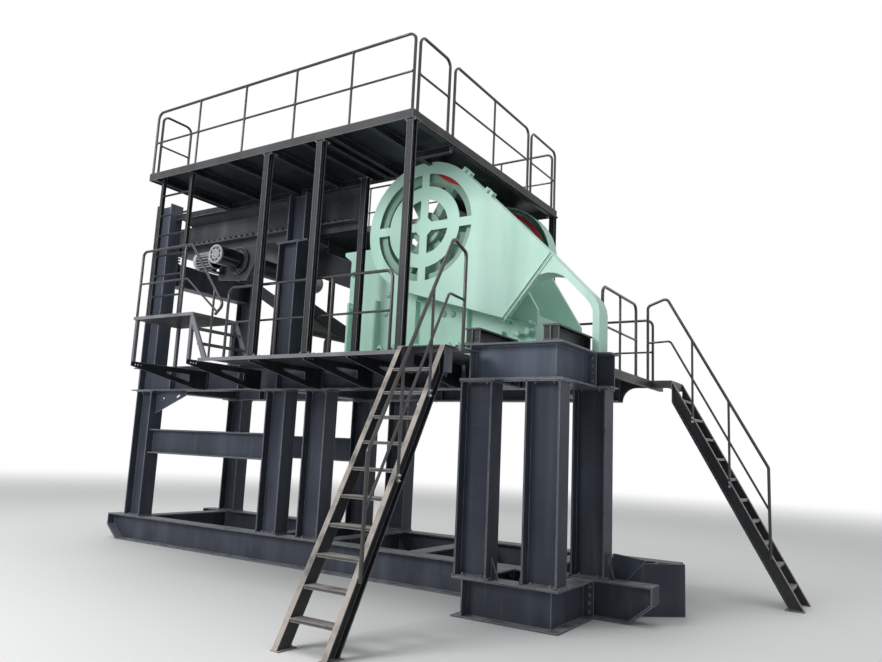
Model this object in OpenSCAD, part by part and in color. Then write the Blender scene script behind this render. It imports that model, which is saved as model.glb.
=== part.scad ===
// Skid-mounted primary jaw crusher station: a jaw crusher and its vibrating
// feeder on a steel frame with walkways, stairs and a feeding deck.
// Origin: centre of the skid's footprint, on the ground.
// +X runs along the skid to the discharge end, +Y to the rear side.

/* [Skid] */
// Length of the two skid beams
skid_l = 10300; // [9800:50:10800]
// Width over both skid beams
skid_w = 2520; // [2400:10:2700]
// Height of the skid beams
skid_h = 450; // [400:10:500]
// Flange width of all heavy H-beams
flange_w = 280; // [240:10:300]
// Flange thickness of all heavy H-beams
flange_t = 20; // [14:1:28]
// Web thickness of all heavy H-beams
web_t = 14; // [10:1:20]
// Cut-off length of the skid beams' lower corners
chamfer_l = 290; // [200:10:360]
// Shortening of the rear skid beam at its discharge end
rear_cut = 300; // [200:10:400]

/* [Columns] */
// Depth of the columns along X
col_d = 430; // [380:10:460]
// Height of the columns' tops above the ground
col_top = 2750; // [2500:10:3000]
// Thickness of the columns' base plates
base_t = 20; // [12:1:30]
// Column at the feed end
col_a_x = -4460; // [-4600:10:-4400]
// First column at mid length
col_b_x = -1030; // [-1150:10:-1000]
// Second column at mid length
col_c_x = -160; // [-200:10:-100]
// Column at the discharge end, front side
col_d_x = 4360; // [4300:10:4450]
// Column at the discharge end, rear side
col_e_x = 3520; // [3450:10:3600]

/* [Tower] */
// Front face of the outrigger tower
tower_y = -2340; // [-2450:10:-2250]
// Left edge of the outrigger tower
tower_x0 = 3120; // [3050:10:3200]
// Right edge of the outrigger tower
tower_x1 = 4460; // [4400:10:4550]
// Height of the motor base rails
rail_block_h = 200; // [150:10:260]

/* [Main level] */
// Height of the main beams
main_h = 440; // [380:10:480]
// Left end of the main beams
main_x0 = -4860; // [-5000:10:-4750]
// Front edge of the walkway
walk_y = -2800; // [-2900:10:-2700]
// Top of the walkway's floor above the ground
walk_z = 3080; // [2950:10:3150]
// Left end of the walkway
walk_x0 = -2790; // [-2850:10:-2700]
// Distance of the front stair's head from the walkway's edge
stair_head = 250; // [220:10:280]
// Left end of the walkway's floor
floor_x0 = -1150; // [-1250:10:-1100]
// Right end of the walkway
walk_x1 = 3400; // [3350:10:3450]
// Thickness of the floor plates
plate_t = 8; // [5:1:12]
// Height of the walkway's edge angle
edge_h = 50; // [40:5:80]

/* [Feeding deck] */
// Top of the feeding deck above the ground
deck_z = 6210; // [6000:10:6400]
// Rear edge of the feeding deck
deck_y1 = 1740; // [1650:10:1800]
// Right end of the feeding deck
deck_x1 = 2540; // [2500:10:2600]
// Height of the feeding deck's edge channels
deck_edge_h = 120; // [100:10:160]
// Width of the deck posts
post_w = 100; // [80:5:120]
// Height of the handrails
rail_h = 1080; // [1000:10:1150]
// Outer diameter of the handrail tube
rail_d = 42; // [34:1:48]
// Bend radius of the handrail tube
rail_bend = 110; // [80:5:140]

/* [Stairs] */
// Width between the outer faces of a stair
stair_w = 660; // [600:10:760]
// Number of risers in a stair
stair_n = 11; // [10:1:12]
// Going of one step
stair_go = 156; // [140:2:180]
// Depth of a tread
tread_d = 150; // [120:5:180]
// Flange width of the stairs' channel stringers
stringer_t = 64; // [50:2:70]
// Flange thickness of the stringers
stringer_lip = 10; // [6:1:12]
// Thickness of the folded treads
tread_t = 6; // [4:1:8]
// Depth of a stair stringer
stringer_h = 160; // [140:5:180]
// Left side of the front stair
stair_x0 = 2680; // [2660:5:2700]
// Front side of the rear stair
rear_stair_y = 1120; // [1080:10:1200]
// Top end of the rear stair
rear_stair_x = 4730; // [4700:10:4760]

/* [Crusher] */
// Length of the crusher's frame
body_l = 3400; // [3300:10:3450]
// Left end of the crusher's frame
body_x0 = 20; // [-20:5:60]
// Width over the crusher's side plates
body_w = 1640; // [1500:10:1700]
// Thickness of the side plates
side_t = 60; // [40:2:80]
// Height of the crusher's frame over the main beams
body_h = 1880; // [1780:10:1900]
// Shaft centre along X
shaft_x = 1760; // [1740:5:1780]
// Shaft centre above the ground
shaft_z = 5150; // [5120:5:5180]
// Shaft diameter at the bearings
shaft_d = 220; // [200:5:240]
// Eccentric diameter inside the swing jaw
ecc_d = 300; // [290:5:320]
// Throw of the eccentric
ecc_e = 16; // [12:1:20]
// Running clearance of the shaft in its bores, on the radius
run_gap = 0.1; // [0.05:0.01:0.2]
// Radius of the flywheels
wheel_r = 900; // [860:5:920]
// Width of the flywheel rims
wheel_w = 260; // [220:10:280]
// Gap between the frame and a flywheel
wheel_gap = 150; // [130:5:180]
// Number of flywheel spokes
spokes = 6; // [5:1:8]

/* [Guards] */
// Outer radius of the guards round the flywheels
guard_r = 1000; // [980:5:1010]
// Depth of the guards
guard_d = 300; // [280:5:320]
// Gap between a flywheel and its guard's face plate
guard_gap = 60; // [40:5:80]
// Thickness of the guards' sheet
sheet_t = 12; // [8:1:16]

/* [Feeder] */
// Left end of the feeder pan
feed_x0 = -4550; // [-4650:10:-4500]
// Right end of the feeder pan
feed_x1 = 100; // [50:10:150]
// Inside width of the feeder pan
feed_w = 1500; // [1400:10:1560]
// Height of the feeder pan's sides
feed_h = 560; // [500:10:600]
// Bottom of the feeder pan above the ground
feed_z = 5480; // [5460:10:5500]
// Thickness of the feeder's side plates
feed_t = 20; // [14:1:26]
// Radius of the exciter's flanges
exc_r = 260; // [240:5:270]
// Exciter centre along X
exc_x = -2720; // [-2780:10:-2660]
// Exciter centre above the ground
exc_z = 5200; // [5170:5:5210]

/* [Hidden] */
$fn = 48;

steel = [0.20, 0.22, 0.26];
dark = [0.13, 0.14, 0.16];
grey = [0.42, 0.42, 0.42];
mint = [0.66, 0.87, 0.76];

beam_y = skid_w / 2 - flange_w / 2;
main_z1 = col_top + main_h;
side_y = skid_w / 2;
inner_y = side_y - flange_w;
web_y = beam_y - web_t / 2;
main_x1 = col_d_x + col_d / 2 + 65;
rear_main_x1 = col_e_x + col_d / 2 + 200;

// Cross-section of an H-beam, web upright, bottom centre at the origin
module h_section(h, w) {
    translate([-w / 2, 0]) square([w, flange_t]);
    translate([-w / 2, h - flange_t]) square([w, flange_t]);
    translate([-web_t / 2, flange_t / 2]) square([web_t, h - flange_t]);
}

// H-beam along X with its underside at z
module beam_x(x0, x1, y, z, h, w = flange_w) {
    translate([x0, y, z]) rotate([90, 0, 90]) linear_extrude(x1 - x0) h_section(h, w);
}

// H-beam along Y with its underside at z
module beam_y(y0, y1, x, z, h, w = flange_w) {
    translate([x, y1, z]) rotate([90, 0, 0]) linear_extrude(y1 - y0) h_section(h, w);
}

// Upright H-column, flanges square to X, with base and head plates
module column(x, y, z0, z1, d = col_d) {
    translate([x - d / 2, y, z0]) rotate([0, 0, -90]) linear_extrude(z1 - z0) h_section(d, flange_w);
}

mid_d = rail_d * 0.8;
elbow_more = 1;
elbow_lap = 2;
function turn_of(a) = a > 180 ? a - 360 : a < -180 ? a + 360 : a;

// Round tube along a flat path in the XZ plane, its bends welded elbows a little thicker than the tube
module bent_tube(path, d = rail_d, bend = rail_bend) {
    n = len(path);
    dirs = [for (i = [0:n - 2]) let (v = path[i + 1] - path[i]) atan2(v[1], v[0])];
    turns = [for (i = [0:n - 1]) i == 0 || i == n - 1 ? 0 : turn_of(dirs[i] - dirs[i - 1])];
    cuts = [for (i = [0:n - 1]) turns[i] == 0 ? 0 : bend * tan(abs(turns[i]) / 2) - elbow_lap];
    rotate([90, 0, 0]) {
        for (i = [0:n - 2]) {
            v = path[i + 1] - path[i];
            u = v / norm(v);
            translate(concat(path[i] + cuts[i] * u, [0]))
                rotate([0, 90, dirs[i]]) cylinder(d = d, h = norm(v) - cuts[i] - cuts[i + 1], $fn = 24);
        }
        for (i = [1:n - 2]) {
            side = turns[i] > 0 ? 1 : -1;
            before = [cos(dirs[i - 1]), sin(dirs[i - 1])];
            left = [-before[1], before[0]];
            centre = path[i] - (cuts[i] + elbow_lap) * before + side * bend * left;
            start = side > 0 ? dirs[i - 1] - 90 : dirs[i] + 90;
            translate(concat(centre, [0])) rotate([0, 0, start])
                rotate_extrude(angle = abs(turns[i]), $fn = 48)
                    translate([bend, 0]) circle(d = d + elbow_more, $fn = 24);
        }
    }
}

// Straight handrail panel along X from x0 to x1: bent top rail, mid rail and posts
module rail_panel(x0, x1, bays, h = rail_h, bend = rail_bend) {
    bent_tube([[x0, 0], [x0, h], [x1, h], [x1, 0]], bend = bend);
    bent_tube([[x0, h / 2], [x1, h / 2]], d = mid_d - 2);
    if (bays > 1) for (i = [1:bays - 1])
        translate([x0 + (x1 - x0) * i / bays, 0, 0]) cylinder(d = mid_d, h = h, $fn = 24);
}

// Skid beam with both lower corners cut off and closed by end plates
module skid_beam(y, x0, x1) {
    cut_h = skid_h * 0.52;
    difference() {
        union() {
            beam_x(x0, x1, y, 0, skid_h);
            for (x = [x0, x1 - base_t]) translate([x, y - flange_w / 2, 0]) cube([base_t, flange_w, skid_h]);
        }
        for (s = [0, 1]) translate([s == 0 ? x0 : x1, y, 0]) mirror([s, 0, 0])
            rotate([90, 0, 0]) translate([0, 0, -flange_w / 2 - 1]) linear_extrude(flange_w + 2)
                polygon([[-1, -1], [chamfer_l, -1], [-1, cut_h]]);
    }
    for (s = [0, 1]) translate([s == 0 ? x0 : x1, y, 0]) mirror([s, 0, 0])
        rotate([90, 0, 0]) translate([0, 0, -flange_w / 2]) linear_extrude(flange_w)
            polygon([[chamfer_l, 0], [chamfer_l + base_t * 2, 0], [base_t, cut_h + base_t], [0, cut_h]]);
}

module skid_beam_front() {
    color(steel) skid_beam(-beam_y, -skid_l / 2, skid_l / 2);
}

module skid_beam_rear() {
    color(steel) skid_beam(beam_y, -skid_l / 2, skid_l / 2 - rear_cut);
}

skid_cross_xs = [col_a_x, col_b_x, 0, 1700, col_e_x];
module skid_cross_beams() {
    color(steel) for (x = skid_cross_xs) beam_y(-inner_y, inner_y, x, 0, skid_h);
}

// Frame of the outrigger tower at height z: a front beam and two side beams that end in bolted plates
module tower_frame(z, h) {
    webs = [tower_x0 + flange_w / 2, tower_x1 - flange_w / 2];
    front_y = tower_y + (flange_w - web_t) / 2;
    for (k = [z, z + h - flange_t]) {
        translate([tower_x0, tower_y, k]) cube([tower_x1 - tower_x0, flange_w, flange_t]);
        for (x = webs) translate([x - flange_w / 2, tower_y + 1, k])
            cube([flange_w, -side_y - tower_y - 1, flange_t]);
    }
    translate([0, 0, z + flange_t / 2]) linear_extrude(h - flange_t) {
        translate([webs[0], front_y]) square([webs[1] - webs[0], web_t]);
        for (w = [[webs[0], tower_y], [webs[1], front_y]])
            translate([w[0] - web_t / 2, w[1]]) square([web_t, -side_y - w[1]]);
        for (x = webs) translate([x - flange_w / 2 + 4, -side_y - stiff_t]) square([flange_w - 8, stiff_t]);
    }
}

stiff_t = 12;
module tower_base() {
    color(steel) tower_frame(0, skid_h);
}

front_xs = [col_a_x, col_b_x, col_c_x, col_d_x];
rear_xs = [col_a_x, col_b_x, col_c_x, col_e_x];
module plated_column(x, y) {
    column(x, y, skid_h + base_t, col_top - base_t);
    for (z = [skid_h, col_top - base_t])
        translate([x - col_d / 2 - base_t, y - flange_w / 2, z]) cube([col_d + 2 * base_t, flange_w, base_t]);
}

// Triangular foot gusset on a column's flange, on its side s along X
module gusset(x, y, s) {
    translate([x + s * (col_d / 2 - 1), y, skid_h]) mirror([s > 0 ? 0 : 1, 0, 0])
        rotate([90, 0, 0]) translate([0, 0, -stiff_t / 2]) linear_extrude(stiff_t)
            polygon([[0, 0], [90, 0], [90, 20], [0, 250]]);
}

module columns_front() {
    color(steel) {
        for (x = front_xs) plated_column(x, -beam_y);
        gusset(col_d_x, -beam_y, 1);
    }
}

module columns_rear() {
    color(steel) for (x = rear_xs) plated_column(x, beam_y);
}

tower_xs = [tower_x0 + col_d / 2 + base_t, tower_x1 - col_d / 2 - base_t];
module columns_tower() {
    color(steel) for (i = [0, 1]) {
        plated_column(tower_xs[i], tower_y + flange_w / 2);
        gusset(tower_xs[i], tower_y + flange_w / 2, 1 - 2 * i);
    }
}

tie_z = 1600;
module tie_beams() {
    color(steel) for (y = [-beam_y, beam_y])
        beam_x(col_a_x + col_d / 2, col_b_x - col_d / 2, y, tie_z, main_h, flange_w * 0.7);
}

module main_beam(y, x0, x1) {
    beam_x(x0, x1, y, col_top, main_h);
    for (x = [x0 + 200:900:x1 - 100]) translate([x, y - flange_w / 2 + 6, col_top + flange_t / 2])
        cube([stiff_t, flange_w - 12, main_h - flange_t]);
}

module main_beam_front() {
    color(steel) {
        main_beam(-beam_y, main_x0, main_x1);
        translate([col_a_x + col_d / 2 + base_t, -beam_y, col_top]) rotate([90, 0, 0]) linear_extrude(stiff_t)
            difference() {
                polygon([[0, 1], [800, 1], [800, -90], [-base_t, -420], [-base_t, -base_t], [0, -base_t]]);
                for (x = [130, 560]) hull() for (k = [0, 1])
                    translate([x + 60 * k, 30 * k - 180 + x * 0.12]) circle(r = 16, $fn = 24);
            }
    }
}

module main_beam_rear() {
    color(steel) main_beam(beam_y, main_x0, rear_main_x1);
}

main_cross_xs = [col_a_x, col_b_x, col_e_x];
module main_cross_beams() {
    color(steel) for (x = main_cross_xs)
        beam_y(-inner_y, inner_y, x, col_top, main_h);
}

module head_frame() {
    color(steel) tower_frame(col_top, main_h);
}

block_w = 200;
module motor_rails() {
    y0 = tower_y + 20;
    color(steel) for (x = [tower_x0 + 140, tower_x1 - 165]) {
        beam_y(y0, -side_y, x, main_z1, rail_block_h, block_w);
        for (y = [y0 + 26, -side_y - 60]) translate([x - block_w / 2 + 4, y, main_z1 + flange_t - 1])
            cube([block_w - 8, stiff_t, rail_block_h - 2 * flange_t + 2]);
    }
}

stair_x1 = stair_x0 + stair_w;
head_y = walk_y - stair_head;
module walkway_floor() {
    z = walk_z - plate_t;
    cheek_h = 300;
    cheek_t = 12;
    color(steel) {
        translate([floor_x0, walk_y, z]) cube([tower_x0 - floor_x0, -side_y - walk_y, plate_t]);
        translate([tower_x0, walk_y, z]) cube([walk_x1 - tower_x0, tower_y - walk_y, plate_t]);
        translate([floor_x0, walk_y, walk_z - edge_h]) cube([walk_x1 - floor_x0, plate_t, edge_h]);
        translate([stair_x0, head_y, z]) cube([stair_w, stair_head, plate_t]);
        for (x = [stair_x0 + stringer_t - cheek_t, stair_x1 - stringer_t])
            translate([x, head_y, walk_z - cheek_h]) cube([cheek_t, stair_head, cheek_h]);
    }
}

bracket_t = 12;
bracket_bar = 90;
bracket_tip = 70;
// Triangular bracket with a window and three holes, from the beam side at y0 out to the edge at y1
module bracket(x, y0, y1) {
    z1 = walk_z - plate_t;
    reach = abs(y1 - y0);
    heel = reach * 0.17;
    low = z1 - bracket_bar - 0.37 * (z1 - col_top);
    translate([x - bracket_t / 2, y0, 0]) mirror([0, y1 > y0 ? 0 : 1, 0]) rotate([90, 0, 90])
        linear_extrude(bracket_t) difference() {
            polygon([[0, col_top], [heel, col_top], [reach, z1 - bracket_tip], [reach, z1], [0, z1]]);
            offset(r = 12, $fn = 24) offset(delta = -12) polygon([[reach * 0.25, low],
                [reach * 0.62, z1 - bracket_bar], [reach * 0.25, z1 - bracket_bar]]);
            for (k = [1:3]) translate([reach - 30 - 50 * k, z1 - bracket_bar / 2]) circle(r = 10, $fn = 24);
        }
}

module walkway_brackets() {
    mid = post_w / 2;
    xs = [walk_x0 + 44, land_x1 - 36, front_post_xs[0] + mid, front_post_xs[1] + mid, 1700,
        front_post_xs[2] + mid];
    color(dark) for (x = xs) bracket(x, -side_y, walk_y + plate_t);
}

module walkway_handrail() {
    y = walk_y + plate_t + post_w + rail_d / 2 + 1;
    color(grey) translate([0, y, walk_z]) rail_panel(-740, 2270, 3, low_rail_h);
}

front_post_xs = [-120, 900, 2440];
rear_post_xs = [-2640, 0, 2440];
inner_post_x = 560;
deck_z0 = deck_z - deck_edge_h;
post_t = 8;
// Deck post of small H-section, its flanges square to Y and its corner at the origin
module deck_post() {
    linear_extrude(deck_z0 - walk_z) {
        for (y = [0, post_w - post_t]) translate([0, y]) square([post_w, post_t]);
        translate([(post_w - post_t) / 2, post_t / 2]) square([post_t, post_w - post_t]);
    }
}

module deck_posts_front() {
    color(dark) {
        for (x = front_post_xs) translate([x, walk_y + plate_t, walk_z]) deck_post();
        translate([inner_post_x, -side_y - post_w, walk_z]) deck_post();
    }
}

module deck_posts_rear() {
    color(dark) for (x = rear_post_xs) translate([x, deck_y1 - plate_t - post_w, walk_z]) deck_post();
}

mouth_x1 = 1100;
mouth_y = 1050;
module deck_floor() {
    cut_x = walk_x0 - 1;
    color(steel) difference() {
        union() {
            translate([walk_x0, walk_y, deck_z - plate_t])
                cube([deck_x1 - walk_x0, deck_y1 - walk_y, plate_t]);
            for (y = [walk_y, deck_y1 - plate_t])
                translate([walk_x0, y, deck_z0]) cube([deck_x1 - walk_x0, plate_t, deck_edge_h]);
            for (x = [walk_x0, deck_x1 - plate_t])
                translate([x, walk_y, deck_z0]) cube([plate_t, deck_y1 - walk_y, deck_edge_h]);
        }
        translate([cut_x, -mouth_y, deck_z0 - 1]) cube([mouth_x1 - cut_x, 2 * mouth_y, deck_edge_h + 2]);
        for (y = [-mouth_y - deck_beam_w, mouth_y]) translate([cut_x, y, deck_z0 - 1])
            cube([plate_t + 2, deck_beam_w, deck_edge_h - plate_t + 1]);
    }
}

deck_beam_w = 80;
deck_beam_h = deck_edge_h - plate_t;
hopper_x0 = col_a_x + col_d / 2;
hung_x0 = 1800;
hung_y = -1830;
hung_h = 100;
module deck_beams() {
    y = mouth_y + deck_beam_w;
    color(dark) {
        for (x = [walk_x0 + 90, -1840, -980, front_post_xs[0], inner_post_x + 40, front_post_xs[1]])
            translate([x, walk_y + plate_t, deck_z0]) cube([60, -y - walk_y - plate_t, deck_beam_h]);
        for (x = [rear_post_xs[0], -1760, -880, rear_post_xs[1]])
            translate([x, y, deck_z0]) cube([60, deck_y1 - plate_t - y, deck_beam_h]);
        for (r = [[walk_y + plate_t, -guard_y1 - 10], [-guard_y0 + 10, guard_y0 - 10],
            [guard_y1 + 10, deck_y1 - plate_t]])
            translate([hung_x0, r[0], deck_z0]) cube([60, r[1] - r[0], deck_beam_h]);
        for (x = [mouth_x1, front_post_xs[2]])
            translate([x, walk_y + plate_t, deck_z0]) cube([60, deck_y1 - walk_y - 2 * plate_t, deck_beam_h]);
        for (s = [-1, 1]) translate([hopper_x0, s > 0 ? mouth_y : -y, deck_z0])
            cube([mouth_x1 - hopper_x0, deck_beam_w, deck_beam_h]);
        translate([hung_x0, hung_y, deck_z0 - hung_h])
            cube([front_post_xs[2] + 60 - hung_x0, 60, hung_h + 1]);
    }
}

module deck_rail_front() {
    color(grey) translate([0, walk_y + 30, deck_z]) rail_panel(walk_x0 + 40, deck_x1 - 40, 5);
}

module deck_rail_left() {
    color(grey) translate([walk_x0 + 30, 0, deck_z]) rotate([0, 0, 90])
        rail_panel(walk_y + 130, walk_y + 700, 1);
}

right_rails = [[walk_y + 130, walk_y + 870, 1], [walk_y + 1010, walk_y + 3380, 2],
    [walk_y + 3500, deck_y1 - 60, 1]];
module deck_rail_right() {
    color(grey) for (r = right_rails)
        translate([deck_x1 - 30, 0, deck_z]) rotate([0, 0, 90]) rail_panel(r[0], r[1], r[2]);
}

module deck_rail_rear() {
    color(grey) translate([0, deck_y1 - 30, deck_z]) rail_panel(walk_x0 + 40, deck_x1 - 100, 5);
}

ladder_x0 = -2600;
ladder_w = 760;
land_z = 3790;
land_x1 = -1370;
land_d = 900;
module ladder() {
    y = walk_y + 110;
    color(dark) {
        for (x = [ladder_x0, ladder_x0 + ladder_w - 50])
            translate([x, y, land_z]) cube([50, 60, deck_z - plate_t - land_z]);
        for (k = [1:6])
            translate([ladder_x0 + 25, y + 30, land_z + k * 340]) rotate([0, 90, 0])
                cylinder(d = 34, h = ladder_w - 50, $fn = 24);
    }
}

land_step = (land_z - walk_z) / 3;
module landing() {
    go = 133;
    color(steel) {
        translate([walk_x0, walk_y, land_z - edge_h]) cube([land_x1 - walk_x0, land_d, edge_h]);
        for (x = [walk_x0 + 20, land_x1 - 60]) for (y = [walk_y + 20, walk_y + land_d - 80])
            translate([x, y, walk_z - plate_t]) cube([50, 50, land_z - edge_h - walk_z + plate_t]);
        for (y = [walk_y + 30, walk_y + land_d]) translate([land_x1, y, 0]) rotate([90, 0, 0])
            linear_extrude(30) polygon([[0, land_z], [0, land_z - 150], [300, walk_z], [3 * go, walk_z]]);
        for (k = [1, 2]) translate([land_x1 + k * go - 130, walk_y + 30, land_z - k * land_step - 30])
            cube([130, land_d - 60, 30]);
    }
}

module landing_handrail() {
    x0 = walk_x0 + 40;
    knee = land_x1 - 190;
    toe = [land_x1 + 640, land_z + 70];
    heel = [land_x1 + 480, land_z - 65];
    top = land_z + rail_h;
    slope = (top - toe[1]) / (toe[0] - knee);
    post_x = -950;
    color(grey) translate([0, walk_y + 30, 0]) {
        bent_tube([[x0, land_z], [x0, top], [knee, top], toe, heel], bend = 80);
        bent_tube([[x0, land_z + rail_h / 2], [knee - 40, land_z + rail_h / 2], toe + 0.75 * (heel - toe)],
            d = mid_d - 2, bend = 80);
        translate([knee - 140, 0, land_z]) cylinder(d = mid_d, h = rail_h, $fn = 24);
        translate([post_x, 0, walk_z])
            cylinder(d = mid_d, h = top - slope * (post_x - knee) - walk_z, $fn = 24);
    }
}

rise = walk_z / stair_n;
stair_angle = atan2(rise, stair_go);
stringer_w = stringer_h / sin(stair_angle);
// Outline of a stringer that goes down along +X from the origin
module stringer_outline(n) {
    run = n * stair_go;
    drop = n * rise;
    polygon([[0, 0], [run, -drop], [run - stringer_w, -drop], [0, -stringer_w * tan(stair_angle)]]);
}

// Channel stringer from y = 0 to -stringer_t, its web at y = 0 and its flanges outwards
module stringer(n) {
    rotate([90, 0, 0]) difference() {
        linear_extrude(stringer_t) stringer_outline(n);
        translate([0, 0, web_t / 2]) linear_extrude(stringer_t)
            offset(delta = -stringer_lip) stringer_outline(n);
    }
}

// Both stringers of a stair, its width along Y from 0
module stringers(n) {
    translate([0, stringer_t, 0]) stringer(n);
    translate([0, stair_w - stringer_t, 0]) mirror([0, 1, 0]) stringer(n);
}

// Folded treads between the stringers
module treads(n) {
    lip = 34;
    for (k = [1:n - 1]) translate([k * stair_go - tread_d, stringer_t, -k * rise]) {
        translate([0, 0, -tread_t]) cube([tread_d, stair_w - 2 * stringer_t, tread_t]);
        for (x = [0, tread_d - tread_t]) translate([x, 0, -lip])
            cube([tread_t, stair_w - 2 * stringer_t, lip]);
    }
}

rail_foot = 1320;
rail_head = -350;
// Handrail of a stair in the plane y = 0: bent top rail, mid rail and two posts
module stair_rail() {
    slope = tan(stair_angle);
    over = rail_h * 1.06;
    bend_z = over - rail_foot * slope;
    mid_z = over / 2 - rail_foot * slope;
    bent_tube([[rail_foot, -rail_foot * slope - 70], [rail_foot, bend_z], [-60, over + 60 * slope],
        [rail_head, over], [rail_head, 0]], bend = 70);
    bent_tube([[rail_foot, mid_z], [-10, over / 2 + 10 * slope], [rail_head, over / 2]],
        d = mid_d - 2, bend = 70);
    for (x = [310, 810]) translate([x, 0, -x * slope - 70]) cylinder(d = mid_d, h = over + 70, $fn = 24);
}

module at_front_stair() {
    translate([stair_x0, head_y, walk_z]) rotate([0, 0, -90]) children();
}

module at_rear_stair() {
    translate([rear_stair_x, rear_stair_y, walk_z]) children();
}

module front_stair() {
    color(grey) at_front_stair() stringers(stair_n);
}

module front_stair_treads() {
    color(grey) at_front_stair() treads(stair_n);
}

module front_stair_handrail() {
    color(grey) at_front_stair() translate([0, stair_w + rail_d / 2, 0]) stair_rail();
}

plat_x1 = 4420;
plat_y1 = rear_stair_y + stair_w;
rear_bays = 7;
rear_bay = 1060;
girder_h = 105;
girder_t = 30;
haunch_r = 215;
module rear_walkway() {
    z = walk_z - plate_t;
    x0 = rear_main_x1 + 2;
    color(steel) {
        translate([walk_x0, side_y, z]) cube([x0 - walk_x0, plat_y1 - side_y, plate_t]);
        translate([x0, -inner_y, z]) cube([plat_x1 - x0, plat_y1 + inner_y, plate_t]);
        translate([plat_x1, rear_stair_y, z]) cube([rear_stair_x - plat_x1, stair_w, plate_t]);
        translate([col_e_x + web_t / 2, -inner_y, z]) cube([x0 - col_e_x - web_t / 2, 2 * inner_y, plate_t]);
        translate([walk_x0, plat_y1 - plate_t, walk_z - edge_h])
            cube([rear_stair_x - walk_x0, plate_t, edge_h]);
        translate([plat_x1 - 60, -web_y, z - girder_h]) cube([60, web_y + plat_y1 - plate_t, girder_h]);
        translate([rear_main_x1, rear_stair_y, z - girder_h])
            cube([rear_stair_x - rear_main_x1, girder_t, girder_h]);
        translate([rear_stair_x - 60, rear_stair_y + girder_t, z - girder_h])
            cube([60, stair_w - girder_t - plate_t, girder_h]);
        translate([rear_main_x1, rear_stair_y + girder_t, z - girder_h - haunch_r]) rotate([90, 0, 0])
            linear_extrude(girder_t) difference() {
                square([haunch_r + 45, haunch_r + 1]);
                translate([haunch_r + 45, 0]) circle(r = haunch_r, $fn = 96);
            }
    }
    color(dark) for (i = [0:rear_bays - 1]) bracket(walk_x0 + 44 + i * rear_bay, side_y, plat_y1 - plate_t);
}

rear_rail_x1 = 4260;
low_rail_h = rail_h - 30;
module rear_walkway_rail() {
    color(grey) translate([0, plat_y1 - rail_d / 2 - 1, walk_z])
        rail_panel(walk_x0 + 40, rear_rail_x1, rear_bays, low_rail_h);
}

module platform_rail() {
    color(grey) translate([plat_x1 - 30, 0, walk_z]) rotate([0, 0, 90]) rail_panel(-900, 490, 2, low_rail_h);
}

module rear_stair() {
    color(dark) at_rear_stair() stringers(stair_n);
}

module rear_stair_treads() {
    color(grey) at_rear_stair() treads(stair_n);
}

module rear_stair_handrail() {
    color(grey) at_rear_stair() translate([0, -rail_d / 2, 0]) stair_rail();
}

up_a_z = 6400;
up_b_z = 5240;
cap_t = 30;
seat_z = up_b_z + cap_t;
spring_r = 78;
spring_y = feed_w / 2 + feed_t + spring_r + 8;
module upper_columns() {
    color(steel) {
        for (y = [-beam_y, beam_y]) {
            column(col_a_x, y, main_z1, up_a_z);
            column(col_b_x, y, main_z1, up_b_z);
            column(col_b_x + 145, y, seat_z, deck_z0, 390);
        }
        beam_y(-web_y, web_y, col_a_x, seat_z - main_h, main_h);
        for (s = [-1, 1]) translate([col_b_x - 280, s > 0 ? spring_y - 120 : -side_y, up_b_z])
            cube([700, side_y - spring_y + 120, cap_t]);
    }
}

flange_z = 5590;
module feeder_springs() {
    coils = 6;
    h = flange_z - seat_z;
    step = h / coils;
    color(dark) for (x = [col_a_x, col_b_x + 70]) for (y = [-spring_y, spring_y])
        translate([x, y, seat_z]) rotate_extrude($fn = 48) polygon(concat([[0, 0], [50, 0]],
            [for (k = [0:coils - 1]) each
                [[spring_r, (k + 0.25) * step], [spring_r, (k + 0.5) * step], [50, (k + 0.75) * step]]],
            [[50, h], [0, h]]));
}

feed_top = 6040;
module feeder_pan() {
    y = feed_w / 2;
    l = feed_x1 - feed_x0;
    flange = spring_y + spring_r - y - feed_t;
    color(dark) {
        for (s = [-1, 1]) {
            translate([feed_x0, s > 0 ? y : -y - feed_t, feed_z]) cube([l, feed_t, feed_top - feed_z]);
            translate([feed_x0, s > 0 ? y + feed_t : -y - feed_t - flange, flange_z])
                cube([l, flange, feed_t]);
        }
        translate([feed_x0, -y, feed_z]) cube([l, feed_w, feed_t]);
        translate([feed_x0, -y, feed_z + feed_t]) cube([feed_t, feed_w, feed_top - feed_z - feed_t]);
    }
}

lip_y = 690;
hopper_x1 = 200;
module hopper() {
    t = 20;
    z0 = 5900;
    z1 = 6050;
    z2 = deck_z0 + deck_beam_h - 2;
    color(steel) for (s = [0, 1]) mirror([0, s, 0])
        translate([hopper_x0, 0, 0]) rotate([90, 0, 90]) linear_extrude(hopper_x1 - hopper_x0)
            polygon([[lip_y, z0], [lip_y + t, z0], [lip_y + t, z1], [mouth_y, z2 - t], [mouth_y, z2],
                [mouth_y - t, z2], [lip_y, z1 + t]]);
}

hang_y = 730;
module exciter() {
    end_y = 1350;
    y = feed_w / 2 + feed_t;
    color(dark) {
        translate([exc_x, end_y, exc_z]) rotate([90, 0, 0])
            cylinder(r = exc_r * 0.65, h = 2 * end_y, $fn = 64);
        for (s = [-1, 1]) translate([exc_x, s * (y + 30) + 30, exc_z]) rotate([90, 0, 0])
            cylinder(r = exc_r, h = 60, $fn = 64);
        for (s = [-1, 1]) translate([0, s > 0 ? y : -hang_y, 0]) rotate([90, 0, 0]) linear_extrude(y - hang_y)
            polygon([[exc_x - 560, exc_z - 310], [exc_x + 210, exc_z - 380], [exc_x + 400, exc_z - 40],
                [exc_x + 560, feed_z], [exc_x - 560, feed_z]]);
    }
}

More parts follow.
